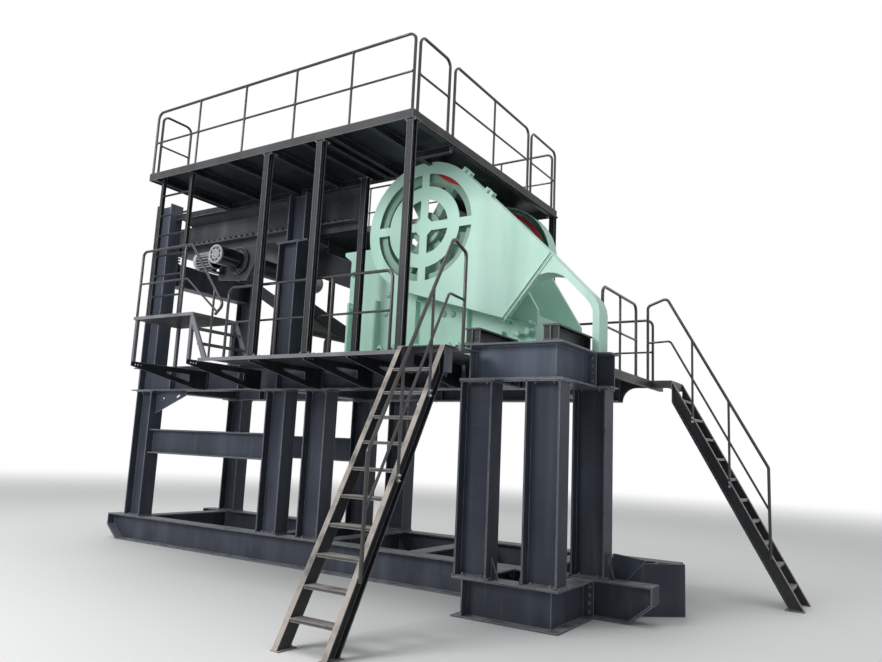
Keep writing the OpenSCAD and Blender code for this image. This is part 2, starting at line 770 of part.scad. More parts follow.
module exciter_motor() {
    y = -1020;
    x0 = exc_x - 780;
    base_z = exc_z - 190;
    color(dark) {
        translate([x0, y, exc_z]) rotate([0, 90, 0]) cylinder(r = 150, h = 420, $fn = 48);
        translate([x0 + 40, y - 60, base_z]) cube([340, 120, 60]);
        translate([x0 + 260, y - 40, base_z - 30]) cube([120, -feed_w / 2 - feed_t - y + 40, 30]);
    }
}

module fines_chute() {
    w = chute_w;
    bar_x = col_b_x - col_d / 2;
    color(dark) {
        translate([0, -w, 0]) rotate([90, 0, 0]) mirror([0, 0, 1]) linear_extrude(2 * w)
            polygon([[-2500, 4640], [bar_x + 40, 3900], [bar_x + 40, 3880], [-2500, 4620]]);
        for (y = [-w, w + chute_t]) translate([0, y, 0]) rotate([90, 0, 0]) linear_extrude(chute_t)
            polygon([[-2500, 4860], [bar_x + 40, 4120], [bar_x + 40, 3880], [-2500, 4620]]);
        translate([bar_x, -inner_y, 3800]) cube([100, 2 * inner_y, 80]);
    }
}

chute_w = 600;
chute_t = 12;
module transfer_chute() {
    top = feed_z;
    side = [[-1000, top], [-720, top], [-720, 5190], [-160, 4980], [-160, 4510], [-1000, 4810]];
    color(dark) {
        for (s = [0, 1]) mirror([0, s, 0]) translate([0, chute_w, 0]) rotate([90, 0, 0])
            linear_extrude(chute_t) polygon(side);
        translate([0, chute_w, 0]) rotate([90, 0, 0]) linear_extrude(2 * chute_w)
            polygon([side[5], side[4], side[4] + [0, chute_t], side[5] + [0, chute_t]]);
        translate([side[0][0], -chute_w, side[5][1]]) cube([chute_t, 2 * chute_w, top - side[5][1]]);
    }
}

body_x1 = body_x0 + body_l;
body_z0 = main_z1;
body_z1 = main_z1 + body_h;
body_y = body_w / 2;
saddle_z = shaft_z - 200;
// Outline of a crusher side plate in the XZ plane
module side_outline() {
    lip_x = body_x0 - 140;
    polygon([[body_x0, body_z0], [body_x1, body_z0], [body_x1, body_z0 + 700], [body_x1 - 500, body_z1 - 350],
        [shaft_x + 420, saddle_z], [shaft_x - 420, saddle_z], [shaft_x - 520, body_z1], [lip_x, body_z1],
        [lip_x, body_z1 - 60], [body_x0, body_z1 - 160]]);
}

foot_y = 1200;
rib_d = 90;
// Side plate with its outer ribs and foot flange, on the side s
module crusher_side(s) {
    color(mint) mirror([0, s > 0 ? 0 : 1, 0]) {
        translate([0, body_y, 0]) rotate([90, 0, 0]) linear_extrude(side_t) side_outline();
        for (r = [[40, 40, 1000], [600, 40, 1000], [1230, 170, 940], [2280, 40, 780], [2860, 40, 400]])
            translate([body_x0 + r[0], body_y, body_z0]) cube([r[1], rib_d, r[2]]);
        translate([body_x1, body_y + 40, body_z0]) rotate([90, 0, 0]) linear_extrude(41)
            polygon([[-380, 0], [0, 0], [0, 470], [-380, 610]]);
        translate([body_x0, body_y, body_z0]) cube([body_l, foot_y - body_y, 50]);
    }
}

module crusher_side_front() {
    crusher_side(-1);
}

module crusher_side_rear() {
    crusher_side(1);
}

in_y = body_y - side_t;
module crusher_end_walls() {
    color(mint) {
        translate([body_x0, -in_y, body_z0]) cube([90, 2 * in_y, body_h]);
        translate([body_x1 - 90, -in_y, body_z0]) cube([90, 2 * in_y, 620]);
    }
}

module fixed_jaw() {
    color(grey) translate([0, in_y - 10, 0]) rotate([90, 0, 0]) linear_extrude(2 * in_y - 20)
        polygon([[body_x0 + 90, body_z0 + 60], [body_x0 + 260, body_z0 + 60], [body_x0 + 190, body_z1 - 40],
            [body_x0 + 90, body_z1 - 40]]);
}

jaw_heel = [900, body_z0 + 150];
jaw_back = [980, body_z0 + 330];
module swing_jaw() {
    color(mint) difference() {
        translate([0, in_y - 20, 0]) rotate([90, 0, 0]) linear_extrude(2 * in_y - 40)
            union() {
                translate([shaft_x, shaft_z]) circle(r = 300, $fn = 64);
                polygon([[shaft_x - 290, shaft_z + 60], [shaft_x + 250, shaft_z - 150], jaw_back, jaw_heel,
                    [700, body_z0 + 80], [420, body_z0 + 80]]);
            }
        translate([shaft_x, in_y, shaft_z]) rotate([90, 0, 0])
            cylinder(r = ecc_d / 2 + ecc_e + 6, h = 2 * in_y);
    }
}

seat_x = 2450;
module toggle_seat() {
    z = body_z0 + 460;
    color(mint) {
        translate([0, in_y - 40, 0]) rotate([90, 0, 0]) linear_extrude(2 * in_y - 80)
            polygon([jaw_heel + 0.3 * (jaw_back - jaw_heel), jaw_heel + 0.7 * (jaw_back - jaw_heel),
                [seat_x + 10, z + 110], [seat_x + 10, z + 40]]);
        translate([seat_x, -in_y, z]) cube([body_x1 - 90 - seat_x, 2 * in_y, 150]);
    }
}

housing_w = 160;
module bearing_housings() {
    color(mint) for (s = [-1, 1]) translate([shaft_x, s > 0 ? in_y : -in_y - housing_w, 0]) difference() {
        union() {
            translate([0, housing_w, shaft_z]) rotate([90, 0, 0])
                cylinder(r = shaft_z - saddle_z - 1, h = housing_w, $fn = 64);
            translate([-380, 0, saddle_z]) cube([760, housing_w, 60]);
            translate([-190, 0, saddle_z]) cube([380, housing_w, 200]);
        }
        translate([0, housing_w + 1, shaft_z]) rotate([90, 0, 0])
            cylinder(r = shaft_d / 2 + run_gap, h = housing_w + 2, $fn = 64);
    }
}

wheel_y = body_y + wheel_gap;
module eccentric_shaft() {
    y1 = wheel_y + wheel_w;
    color(grey) {
        translate([shaft_x, y1, shaft_z]) rotate([90, 0, 0]) cylinder(d = shaft_d, h = 2 * y1, $fn = 64);
        translate([shaft_x + ecc_e, in_y - 70, shaft_z]) rotate([90, 0, 0])
            cylinder(d = ecc_d, h = 2 * in_y - 140, $fn = 64);
    }
}

// Spoked flywheel from y = 0 outwards, its axis along Y
module flywheel() {
    rim = 190;
    color(mint) rotate([-90, 0, 0]) difference() {
        union() {
            difference() {
                cylinder(r = wheel_r, h = wheel_w, $fn = 96);
                translate([0, 0, -1]) cylinder(r = wheel_r - rim, h = wheel_w + 2, $fn = 96);
            }
            cylinder(r = 240, h = wheel_w, $fn = 64);
            for (k = [0:spokes - 1]) rotate([0, 0, k * 360 / spokes])
                translate([0, -70, 70]) cube([wheel_r - rim / 2, 140, wheel_w - 140]);
        }
        translate([0, 0, -1]) cylinder(d = shaft_d, h = wheel_w + 2, $fn = 64);
    }
}

module flywheel_front() {
    translate([shaft_x, -wheel_y, shaft_z]) mirror([0, 1, 0]) flywheel();
}

module flywheel_rear() {
    translate([shaft_x, wheel_y, shaft_z]) flywheel();
}

guard_y1 = wheel_y + wheel_w + guard_gap + sheet_t;
guard_y0 = guard_y1 - guard_d;
// Ends of the diagonal joint between the front guard and its arm
joint_top = [3810, 4540];
joint_bot = [3130, 3700];
module guard_outline(grow = 0) {
    offset(delta = grow) hull() {
        translate([shaft_x, shaft_z]) circle(r = guard_r, $fn = 96);
        polygon([joint_top, joint_bot, joint_top - [200, 0]]);
    }
}

// Four windows inside radius r1, with bars between them; the children are left standing in the middle
module windows(r1, bar) {
    translate([shaft_x, shaft_z]) difference() {
        circle(r = r1, $fn = 96);
        children();
        square([bar, 3 * r1], center = true);
        square([3 * r1, bar], center = true);
    }
}

// Lugs from the crusher's side plate out to a guard's rim, each given by its lower left corner
module lugs(spots) {
    for (p = spots) translate([p[0], body_y, p[1]]) cube([60, guard_y0 - body_y + 12, 80]);
}

joint_d = 110;
joint_way = (joint_top - joint_bot) / norm(joint_top - joint_bot);
joint_out = [joint_way[1], -joint_way[0]];
// Turn of the guard's straight upper edge, where it leaves the circle
edge_turn = atan2(joint_top[1] - shaft_z, joint_top[0] - shaft_x)
    + acos(guard_r / norm(joint_top - [shaft_x, shaft_z]));
ear_spots = [-50, 50, -580, -480];
// Two pairs of ears on the guard's upper edge
module ears() {
    translate([shaft_x, shaft_z]) rotate(edge_turn)
        for (k = ear_spots) translate([guard_r - 8, k]) square([72, 50]);
}

module guard_front() {
    color(mint) mirror([0, 1, 0]) {
        translate([0, guard_y1, 0]) rotate([90, 0, 0]) {
            difference() {
                linear_extrude(guard_d) guard_outline();
                translate([0, 0, sheet_t]) linear_extrude(guard_d) guard_outline(-sheet_t);
                translate([0, 0, -1]) linear_extrude(sheet_t + 2) {
                    windows(820, 130) circle(r = 620, $fn = 96);
                    windows(420, 130) rotate(45) square(280, center = true);
                }
                translate([0, 0, joint_d]) linear_extrude(guard_d) polygon([
                    joint_bot + 20 * joint_way - 20 * joint_out, joint_bot + 20 * joint_way + 2 * joint_out,
                    joint_top - 20 * joint_way + 2 * joint_out, joint_top - 20 * joint_way - 20 * joint_out]);
            }
            linear_extrude(joint_d) ears();
        }
        lugs([[shaft_x - guard_r + 4, shaft_z - 190], [shaft_x - 310, shaft_z - guard_r - 20],
            [joint_bot[0] - 170, joint_bot[1]]]);
    }
}

module guard_arm() {
    foot_x = 4500;
    leg_x = foot_x - 90;
    box_low = joint_top - 400 * joint_way;
    strip_top = joint_top - 370 * joint_way;
    color(mint) translate([0, -guard_y0, 0]) rotate([90, 0, 0]) {
        linear_extrude(guard_d) polygon([joint_top, [foot_x - 260, 4088], [foot_x - 120, 3950],
            [foot_x - 48, 3860], [foot_x - 14, 3780], [foot_x, 3690], [foot_x, main_z1], [leg_x, main_z1],
            [leg_x, 3720], [leg_x - 30, 3800], [leg_x - 100, 3890], [foot_x - 410, 4120], [4000, 4205],
            [3890, 4255], [3780, 4272], [3640, 4250], box_low]);
        translate([0, 0, guard_d - joint_d]) linear_extrude(joint_d)
            polygon([joint_bot, joint_bot + 34 * joint_out, strip_top + 34 * joint_out, strip_top]);
    }
}

module guard_rear() {
    tab_l = 250;
    tab_h = 50;
    color(mint) {
        translate([shaft_x, guard_y1, shaft_z]) rotate([90, 0, 0]) {
            difference() {
                cylinder(r = guard_r, h = guard_d, $fn = 96);
                translate([0, 0, sheet_t]) cylinder(r = guard_r - sheet_t, h = guard_d, $fn = 96);
            }
            translate([guard_r - 10, 90, guard_d - joint_d]) rotate(-45)
                translate([0, -tab_h / 2]) cube([tab_l, tab_h, joint_d]);
        }
        lugs([for (p = [[4 - guard_r, -190], [-310, 10 - guard_r], [300, 10 - guard_r]])
            p + [shaft_x, shaft_z]]);
    }
}

sill_x = 4560;
sill_t = 40;
wing_t = 12;
wing_path = [[sill_x + sill_t / 2, -920], [4830, -720], [5280, -310]];
function left_of(a, b) = let (v = b - a) [-v[1], v[0]] / norm(v);
// Points of a path moved to its left by t
function moved(p, t) = let (n = len(p)) [for (i = [0:n - 1])
    let (m = left_of(p[max(i - 1, 0)], p[max(i, 1)]) + left_of(p[min(i, n - 2)], p[min(i + 1, n - 1)]))
    p[i] + 2 * t * m / (m * m)];
module discharge_plates() {
    inside = moved(wing_path, wing_t);
    middle = moved(wing_path, wing_t / 2);
    color(dark) {
        translate([sill_x, -inner_y, 0]) cube([sill_t, 2 * inner_y, skid_h]);
        linear_extrude(skid_h * 1.4)
            polygon([wing_path[0], wing_path[1], wing_path[2], inside[2], inside[1], inside[0]]);
        translate([col_d_x, -inner_y - 20, skid_h]) rotate([90, 0, 0]) linear_extrude(stiff_t)
            polygon([[240, 0], [410, 0], [650, 260], [270, 300], [240, 300]]);
        translate([0, 0, skid_h - 50]) linear_extrude(wing_t)
            polygon([[sill_x + sill_t / 2, 100], middle[0], middle[1],
                middle[1] + 0.8 * (middle[2] - middle[1]), [4960, 0]]);
    }
}

skid_beam_front();
skid_beam_rear();
skid_cross_beams();
tower_base();
columns_front();
columns_rear();
columns_tower();
tie_beams();
main_beam_front();
main_beam_rear();
main_cross_beams();
head_frame();
motor_rails();
walkway_floor();
walkway_brackets();
walkway_handrail();
deck_posts_front();
deck_posts_rear();
deck_floor();
deck_beams();
deck_rail_front();
deck_rail_left();
deck_rail_right();
deck_rail_rear();
ladder();
landing();
landing_handrail();
front_stair();
front_stair_treads();
front_stair_handrail();
rear_walkway();
rear_walkway_rail();
platform_rail();
rear_stair();
rear_stair_treads();
rear_stair_handrail();
upper_columns();
feeder_springs();
feeder_pan();
hopper();
exciter();
exciter_motor();
fines_chute();
transfer_chute();
crusher_side_front();
crusher_side_rear();
crusher_end_walls();
fixed_jaw();
swing_jaw();
toggle_seat();
bearing_housings();
eccentric_shaft();
flywheel_front();
flywheel_rear();
guard_front();
guard_arm();
guard_rear();
discharge_plates();
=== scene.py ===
import logging
import math
from dataclasses import dataclass, field
from enum import Enum
from typing import Any, Optional, Sequence, Union

import bmesh
import bpy
from mathutils import Matrix, Vector


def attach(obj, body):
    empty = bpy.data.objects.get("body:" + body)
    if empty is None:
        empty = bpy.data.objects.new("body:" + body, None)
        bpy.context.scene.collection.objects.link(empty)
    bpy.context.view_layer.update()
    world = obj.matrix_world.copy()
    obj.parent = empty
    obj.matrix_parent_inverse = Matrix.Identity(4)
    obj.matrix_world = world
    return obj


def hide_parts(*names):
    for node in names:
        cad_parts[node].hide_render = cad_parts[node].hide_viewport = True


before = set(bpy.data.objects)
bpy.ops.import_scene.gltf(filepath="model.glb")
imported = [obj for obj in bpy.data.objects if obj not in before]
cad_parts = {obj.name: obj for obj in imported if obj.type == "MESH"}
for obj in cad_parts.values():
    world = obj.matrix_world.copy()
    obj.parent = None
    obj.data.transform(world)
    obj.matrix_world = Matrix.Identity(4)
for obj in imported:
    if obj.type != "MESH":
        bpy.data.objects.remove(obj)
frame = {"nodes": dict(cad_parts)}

LOG = logging.getLogger("jaw_crusher")
Colour = tuple[float, float, float]
Point = Sequence[float]
Value = Union[float, "Socket"]
BOTH_SIDES = (-1, 1)


class Body(Enum):
    """The CAD body that a piece rides on."""

    FRAME = "frame"
    ROTOR = "rotor"


class Socket:
    """A shader value that takes part in Python arithmetic."""

    def __init__(self, graph: "ShaderGraph", link: Optional[bpy.types.NodeSocket]) -> None:
        """Keeps the graph and the output socket that carries the value."""
        self.graph = graph
        self.link = link

    def _math(self, operation: str, a: Value, b: Value) -> "Socket":
        """Adds one Math node on two values."""
        return self.graph.node("ShaderNodeMath", {"operation": operation}, {0: a, 1: b})

    def __add__(self, other: Value) -> "Socket":
        """self + other."""
        return self._math("ADD", self, other)

    def __radd__(self, other: Value) -> "Socket":
        """other + self."""
        return self._math("ADD", other, self)

    def __sub__(self, other: Value) -> "Socket":
        """self - other."""
        return self._math("SUBTRACT", self, other)

    def __rsub__(self, other: Value) -> "Socket":
        """other - self."""
        return self._math("SUBTRACT", other, self)

    def __mul__(self, other: Value) -> "Socket":
        """self * other."""
        return self._math("MULTIPLY", self, other)

    def __truediv__(self, other: Value) -> "Socket":
        """self / other."""
        return self._math("DIVIDE", self, other)

    def __pow__(self, other: Value) -> "Socket":
        """self to the power of other."""
        return self._math("POWER", self, other)

    def part(self) -> "Socket":
        """The part of the value after its decimal point."""
        return self.graph.node("ShaderNodeMath", {"operation": "FRACT"}, {0: self})

    def whole(self) -> "Socket":
        """The value rounded down."""
        return self.graph.node("ShaderNodeMath", {"operation": "FLOOR"}, {0: self})

    def ramp(self, low: float, high: float) -> "Socket":
        """A smooth step of the value from 0 at low to 1 at high."""
        settings = {"interpolation_type": "SMOOTHSTEP"}
        return self.graph.node("ShaderNodeMapRange", settings, {0: self, 1: low, 2: high})


class ShaderGraph:
    """The node tree of one material."""

    def __init__(self, name: str) -> None:
        """Makes an empty material of that name."""
        self.material = bpy.data.materials.new(name)
        self.material.use_nodes = True
        self.tree = self.material.node_tree
        self.tree.nodes.clear()

    def node(self, kind: str, settings: Optional[dict[str, Any]] = None,
             inputs: Optional[dict[Any, Any]] = None, output: Union[int, str] = 0) -> Socket:
        """Adds one node.

        Args:
            kind: The node's Blender type.
            settings: Its own settings, set first.
            inputs: Values or links of its sockets, by name or number.
            output: The socket that is handed back.

        Returns:
            The chosen output, empty where the node has none.
        """
        made = self.tree.nodes.new(kind)
        for key, value in (settings or {}).items():
            setattr(made, key, value)
        for key, value in (inputs or {}).items():
            if isinstance(value, Socket):
                self.tree.links.new(value.link, made.inputs[key])
            else:
                made.inputs[key].default_value = value
        return Socket(self, made.outputs[output] if len(made.outputs) else None)

    def place(self) -> Socket:
        """The point on the object, in metres."""
        return self.node("ShaderNodeTexCoord", output="Object")

    def axis(self, vector: Socket, name: str) -> Socket:
        """One axis of a vector."""
        return self.node("ShaderNodeSeparateXYZ", None, {0: vector}, name)

    def stretched(self, vector: Socket, scale: Point) -> Socket:
        """A vector with each axis scaled."""
        return self.node("ShaderNodeVectorMath", {"operation": "MULTIPLY"}, {0: vector, 1: tuple(scale)})

    def noise(self, vector: Socket, scale: float, detail: float = 4.0) -> Socket:
        """Cloudy noise from 0 to 1."""
        return self.node("ShaderNodeTexNoise", None, {"Vector": vector, "Scale": scale, "Detail": detail})

    def mix(self, share: Value, a: Any, b: Any) -> Socket:
        """Colour a turned to colour b by a share."""
        colours = {key: value if isinstance(value, Socket) else (*value, 1.0) for key, value in ((6, a), (7, b))}
        return self.node("ShaderNodeMix", {"data_type": "RGBA"}, {0: share, **colours}, 2)

    def upward(self, low: float, high: float) -> Socket:
        """1 on faces whose normal's height is over high, 0 on those under low."""
        normal = self.node("ShaderNodeNewGeometry", output="Normal")
        return self.axis(normal, "Z").ramp(low, high)

    def edges(self, radius: float) -> Socket:
        """1 along sharp edges, fading out over the radius."""
        normal = self.node("ShaderNodeNewGeometry", output="Normal")
        rounded = self.node("ShaderNodeBevel", {"samples": 4}, {"Radius": radius})
        along = self.node("ShaderNodeVectorMath", {"operation": "DOT_PRODUCT"}, {0: normal, 1: rounded}, "Value")
        return (1.0 - along).ramp(0.02, 0.25)

    def surface(self, sockets: dict[str, Any], height: Optional[Socket] = None,
                depth: float = 0.0) -> bpy.types.Material:
        """Ends the tree in one Principled shader.

        Args:
            sockets: Values or links of the shader's sockets.
            height: Relief that feeds a Bump node.
            depth: Depth of the relief in metres.

        Returns:
            The finished material.
        """
        if height is not None:
            values = {"Strength": 1.0, "Distance": depth, "Height": height}
            sockets = {**sockets, "Normal": self.node("ShaderNodeBump", None, values)}
        shader = self.node("ShaderNodeBsdfPrincipled", None, sockets)
        self.node("ShaderNodeOutputMaterial", None, {"Surface": shader})
        return self.material


@dataclass(frozen=True)
class Paint:
    """Sprayed paint on rolled steel: cloudy tone, long streaks of painted highlight, dust on tops, runs, scratches, and
    pale edges that are partly scuffed paint, partly painted highlight.
    """

    name: str
    colour: Colour
    deep: Colour
    painted_sheen_colour: Colour
    dust: Colour = (0.17, 0.165, 0.155)
    wear_and_edge_highlight: Colour = (0.24, 0.245, 0.25)
    rough: float = 0.34
    dusty: float = 0.45
    top: tuple[float, float] = (0.6, 0.95)
    low: float = 0.3
    edge_wear_and_highlight: float = 0.7
    edge: float = 0.018
    scratch: float = 0.3
    grain: float = 0.0005
    cloud: float = 1.6
    coat: float = 0.0
    ior: float = 1.42
    chequer: bool = False

    def material(self) -> bpy.types.Material:
        """The paint's material."""
        g = ShaderGraph(self.name)
        place = g.place()
        cloud = g.noise(place, self.cloud, 5.0).ramp(0.3, 0.7)
        # Painted highlight: long upright streaks that lift the tone towards a lighter colour.
        painted_sheen = g.noise(g.stretched(place, (2.6, 2.6, 0.22)), 1.0, 3.0).ramp(0.45, 0.66)
        speck = g.noise(place, 38.0, 3.0)
        streak = g.noise(g.stretched(place, (9.0, 9.0, 0.7)), 1.0, 4.0).ramp(0.52, 0.78)
        lines = g.noise(g.stretched(place, (2.0, 2.0, 70.0)), 1.0, 2.0).ramp(0.66, 0.72)
        scratch = lines * g.noise(place, 2.3, 3.0).ramp(0.5, 0.62)
        # Lighter in patches towards the floor, turned to the dust colour: partly dust, partly a painted reflection of
        # the floor.
        low = (1.0 - g.axis(place, "Z").ramp(0.0, 1.1)) * g.noise(place, 3.0, 6.0).ramp(0.2, 0.8)
        top = g.upward(*self.top) * g.noise(place, 5.0, 6.0).ramp(0.15, 0.7)
        # Pale band along every sharp edge: partly scuffed paint, partly a painted highlight where a rounded edge would
        # catch the light.
        worn_and_highlit_edges = g.edges(self.edge) * g.noise(place, 7.0, 5.0).ramp(0.15, 0.5)
        tone = g.mix(cloud, self.colour, self.deep)
        # Painted highlight streaks lift the tone.
        tone = g.mix(painted_sheen * 0.6, tone, self.painted_sheen_colour)
        tone = g.mix(streak * 0.08, tone, self.dust)
        tone = g.mix(low * self.low, tone, self.dust)
        tone = g.mix(top * self.dusty, tone, self.dust)
        tone = g.mix(scratch * self.scratch, tone, self.wear_and_edge_highlight)
        # Painted highlight and scuffing on the edges.
        tone = g.mix(worn_and_highlit_edges * self.edge_wear_and_highlight, tone, self.wear_and_edge_highlight)
        tone = g.mix(speck.ramp(0.68, 0.74) * 0.12, tone, self.dust)
        rough = self.rough + cloud * 0.08 + top * 0.25 + streak * 0.08 + low * 0.1
        height = speck * 0.5 + g.noise(place, 260.0, 2.0) * 0.5
        depth = self.grain
        if self.chequer:
            height = height * 0.12 + self.lozenges(g, place) * g.upward(0.6, 0.95)
            depth = 0.002
        sockets = {"Base Color": tone, "Roughness": rough, "IOR": self.ior, "Coat Weight": self.coat,
                   "Coat Roughness": 0.12}
        return g.surface(sockets, height, depth)

    @staticmethod
    def lozenges(g: ShaderGraph, place: Socket) -> Socket:
        """Raised lozenges of chequered plate, seen from above."""
        pitch = 0.034
        u, v = g.axis(place, "X") / pitch, g.axis(place, "Y") / pitch
        parity = ((u.whole() + v.whole()) * 0.5).part() * 2.0
        a, b = u.part() - 0.5 + (v.part() - 0.5), u.part() - 0.5 - (v.part() - 0.5)
        one, other = (a / 0.62) ** 2.0 + (b / 0.2) ** 2.0, (b / 0.62) ** 2.0 + (a / 0.2) ** 2.0
        blend = one * (1.0 - parity) + other * parity
        return 1.0 - blend.ramp(0.55, 1.1)


@dataclass(frozen=True)
class BareMetal:
    """Machined or cast metal without paint."""

    name: str
    colour: Colour
    deep: Colour
    rough: float = 0.35
    metal: float = 1.0
    pitted: float = 0.0004

    def material(self) -> bpy.types.Material:
        """The metal's material."""
        g = ShaderGraph(self.name)
        place = g.place()
        cloud = g.noise(place, 6.0, 6.0).ramp(0.3, 0.7)
        fine = g.noise(g.stretched(place, (40.0, 4.0, 40.0)), 4.0, 3.0)
        tone = g.mix(cloud, self.colour, self.deep)
        sockets = {"Base Color": tone, "Roughness": self.rough + fine * 0.2, "Metallic": self.metal}
        return g.surface(sockets, fine, self.pitted)


@dataclass(frozen=True)
class Finishes:
    """Every finish of the station, made once."""

    structure: Paint = Paint("structure_paint", (0.056, 0.065, 0.088), (0.040, 0.047, 0.064), (0.077, 0.090, 0.121),
                             dust=(0.36, 0.36, 0.35), wear_and_edge_highlight=(0.38, 0.39, 0.41), dusty=0.8, edge_wear_and_highlight=0.9, low=0.06,
                             scratch=0.08, ior=1.22)
    # The structure paint made about 1.6 times lighter for the head frame: partly fresher paint, partly a painted
    # highlight of its lit sheet.
    head: Paint = Paint("head_paint_with_painted_sheen", (0.105, 0.128, 0.172), (0.078, 0.096, 0.130), (0.140, 0.170, 0.225),
                        dust=(0.36, 0.36, 0.35), wear_and_edge_highlight=(0.38, 0.39, 0.41), dusty=0.8, edge_wear_and_highlight=0.9, low=0.06,
                        scratch=0.08, ior=1.22)
    # Near-black paint, the default for unlisted nodes; darkened partly as painted shade, and used as painted shade on
    # undersides and stringer webs.
    shade: Paint = Paint("deck_paint_and_painted_shade", (0.012, 0.014, 0.019), (0.007, 0.008, 0.011), (0.022, 0.026, 0.034), rough=0.42,
                         wear_and_edge_highlight=(0.33, 0.335, 0.34), edge_wear_and_highlight=0.85, ior=1.36)
    fascia: Paint = Paint("fascia_paint", (0.045, 0.048, 0.050), (0.032, 0.034, 0.036), (0.065, 0.068, 0.072),
                          rough=0.5, chequer=True, ior=1.36)
    trim: Paint = Paint("trim_paint", (0.17, 0.17, 0.195), (0.12, 0.12, 0.14), (0.24, 0.24, 0.265))
    pan: Paint = Paint("pan_paint", (0.060, 0.065, 0.074), (0.040, 0.044, 0.051), (0.095, 0.102, 0.115), ior=1.38)
    gloss: Paint = Paint("gloss_paint", (0.014, 0.016, 0.019), (0.008, 0.009, 0.011), (0.024, 0.027, 0.031), rough=0.16,
                         coat=0.5, ior=1.6)
    hopper: Paint = Paint("hopper_paint", (0.075, 0.084, 0.098), (0.055, 0.062, 0.073), (0.100, 0.112, 0.130))
    plate: Paint = Paint("chequer_paint", (0.034, 0.037, 0.044), (0.022, 0.024, 0.029), (0.050, 0.054, 0.062),
                         rough=0.42, chequer=True)
    tube: Paint = Paint("rail_paint", (0.026, 0.025, 0.026), (0.016, 0.015, 0.016), (0.045, 0.043, 0.044), rough=0.10,
                        edge=0.004, dusty=0.1, edge_wear_and_highlight=0.2, scratch=0.0, grain=0.0001, ior=1.6)
    # The stringers' sloping tops take the pale beige dust from a low slope on: partly dust and scuffing, partly a
    # painted highlight on the lit flanges.
    stair: Paint = Paint("stair_paint", (0.036, 0.037, 0.041), (0.026, 0.026, 0.029), (0.055, 0.055, 0.060),
                         dust=(0.50, 0.44, 0.39), wear_and_edge_highlight=(0.46, 0.42, 0.38), dusty=0.85, top=(0.25, 0.48), edge_wear_and_highlight=1.0,
                         edge=0.012, low=0.15)
    tread: Paint = Paint("tread_paint", (0.060, 0.058, 0.055), (0.040, 0.038, 0.037), (0.080, 0.078, 0.074),
                         dust=(0.34, 0.32, 0.30), wear_and_edge_highlight=(0.46, 0.44, 0.41), dusty=0.8, edge_wear_and_highlight=1.0, edge=0.016,
                         low=0.15, chequer=True)
    mint: Paint = Paint("mint_paint", (0.52, 0.80, 0.68), (0.46, 0.74, 0.62), (0.58, 0.85, 0.73),
                        dust=(0.50, 0.60, 0.53), wear_and_edge_highlight=(0.70, 0.88, 0.80), rough=0.40, dusty=0.25, low=0.0, edge_wear_and_highlight=0.45,
                        scratch=0.15, grain=0.0003, cloud=1.1, coat=0.08, ior=1.36)
    # A darker copy of the mint for the flywheels, hub caps, liner-bolt washer rings and the guard joint's recess:
    # painted shade inside the guards and in recesses.
    mint_painted_shade: Paint = Paint("mint_paint_painted_shade", (0.24, 0.42, 0.33), (0.18, 0.33, 0.25), (0.30, 0.50, 0.40),
                         dust=(0.20, 0.28, 0.24), wear_and_edge_highlight=(0.45, 0.62, 0.54), dusty=0.4, low=0.0, edge_wear_and_highlight=0.5)
    red: Paint = Paint("red_paint", (0.46, 0.020, 0.030), (0.36, 0.012, 0.020), (0.52, 0.030, 0.040), rough=0.35,
                       edge_wear_and_highlight=0.1, dusty=0.1, scratch=0.1)
    seam: Paint = Paint("ground_seam", (0.22, 0.22, 0.215), (0.10, 0.10, 0.10), (0.30, 0.30, 0.29), rough=0.5,
                        cloud=9.0, grain=0.002)
    # Near-black motor body, darkened as painted shade between the pale fins.
    motor: Paint = Paint("motor_paint_painted_shade", (0.020, 0.022, 0.024), (0.012, 0.013, 0.015), (0.035, 0.037, 0.040),
                         rough=0.35, cloud=6.0)
    cover: Paint = Paint("cover_paint", (0.46, 0.47, 0.48), (0.34, 0.35, 0.36), (0.55, 0.56, 0.57), rough=0.3,
                         cloud=6.0)
    bare: BareMetal = BareMetal("bare_steel", (0.42, 0.41, 0.39), (0.26, 0.25, 0.24))
    iron: BareMetal = BareMetal("jaw_iron", (0.16, 0.14, 0.12), (0.09, 0.075, 0.065), 0.6, 0.6, 0.002)
    zinc: BareMetal = BareMetal("zinc_bolts", (0.50, 0.50, 0.48), (0.30, 0.30, 0.29), 0.4)

    STRUCTURE = ("skid_beam_front", "skid_beam_rear", "skid_cross_beams", "tower_base", "columns_front",
                 "columns_rear", "columns_tower", "tie_beams", "main_beam_front", "main_beam_rear",
                 "main_cross_beams", "upper_columns", "discharge_plates")
    PLATE = ("walkway_floor", "rear_walkway")
    TUBE = ("walkway_handrail", "deck_rail_front", "deck_rail_left", "deck_rail_right", "deck_rail_rear",
            "landing_handrail", "front_stair_handrail", "rear_walkway_rail", "platform_rail", "rear_stair_handrail")
    MINT = ("crusher_side_front", "crusher_side_rear", "crusher_end_walls", "swing_jaw", "toggle_seat",
            "bearing_housings", "guard_front", "guard_arm", "guard_rear")
    MADE = {}

    def get(self, finish: Union[Paint, BareMetal]) -> bpy.types.Material:
        """The material of a finish, made on first use."""
        if finish.name not in self.MADE:
            self.MADE[finish.name] = finish.material()
        return self.MADE[finish.name]

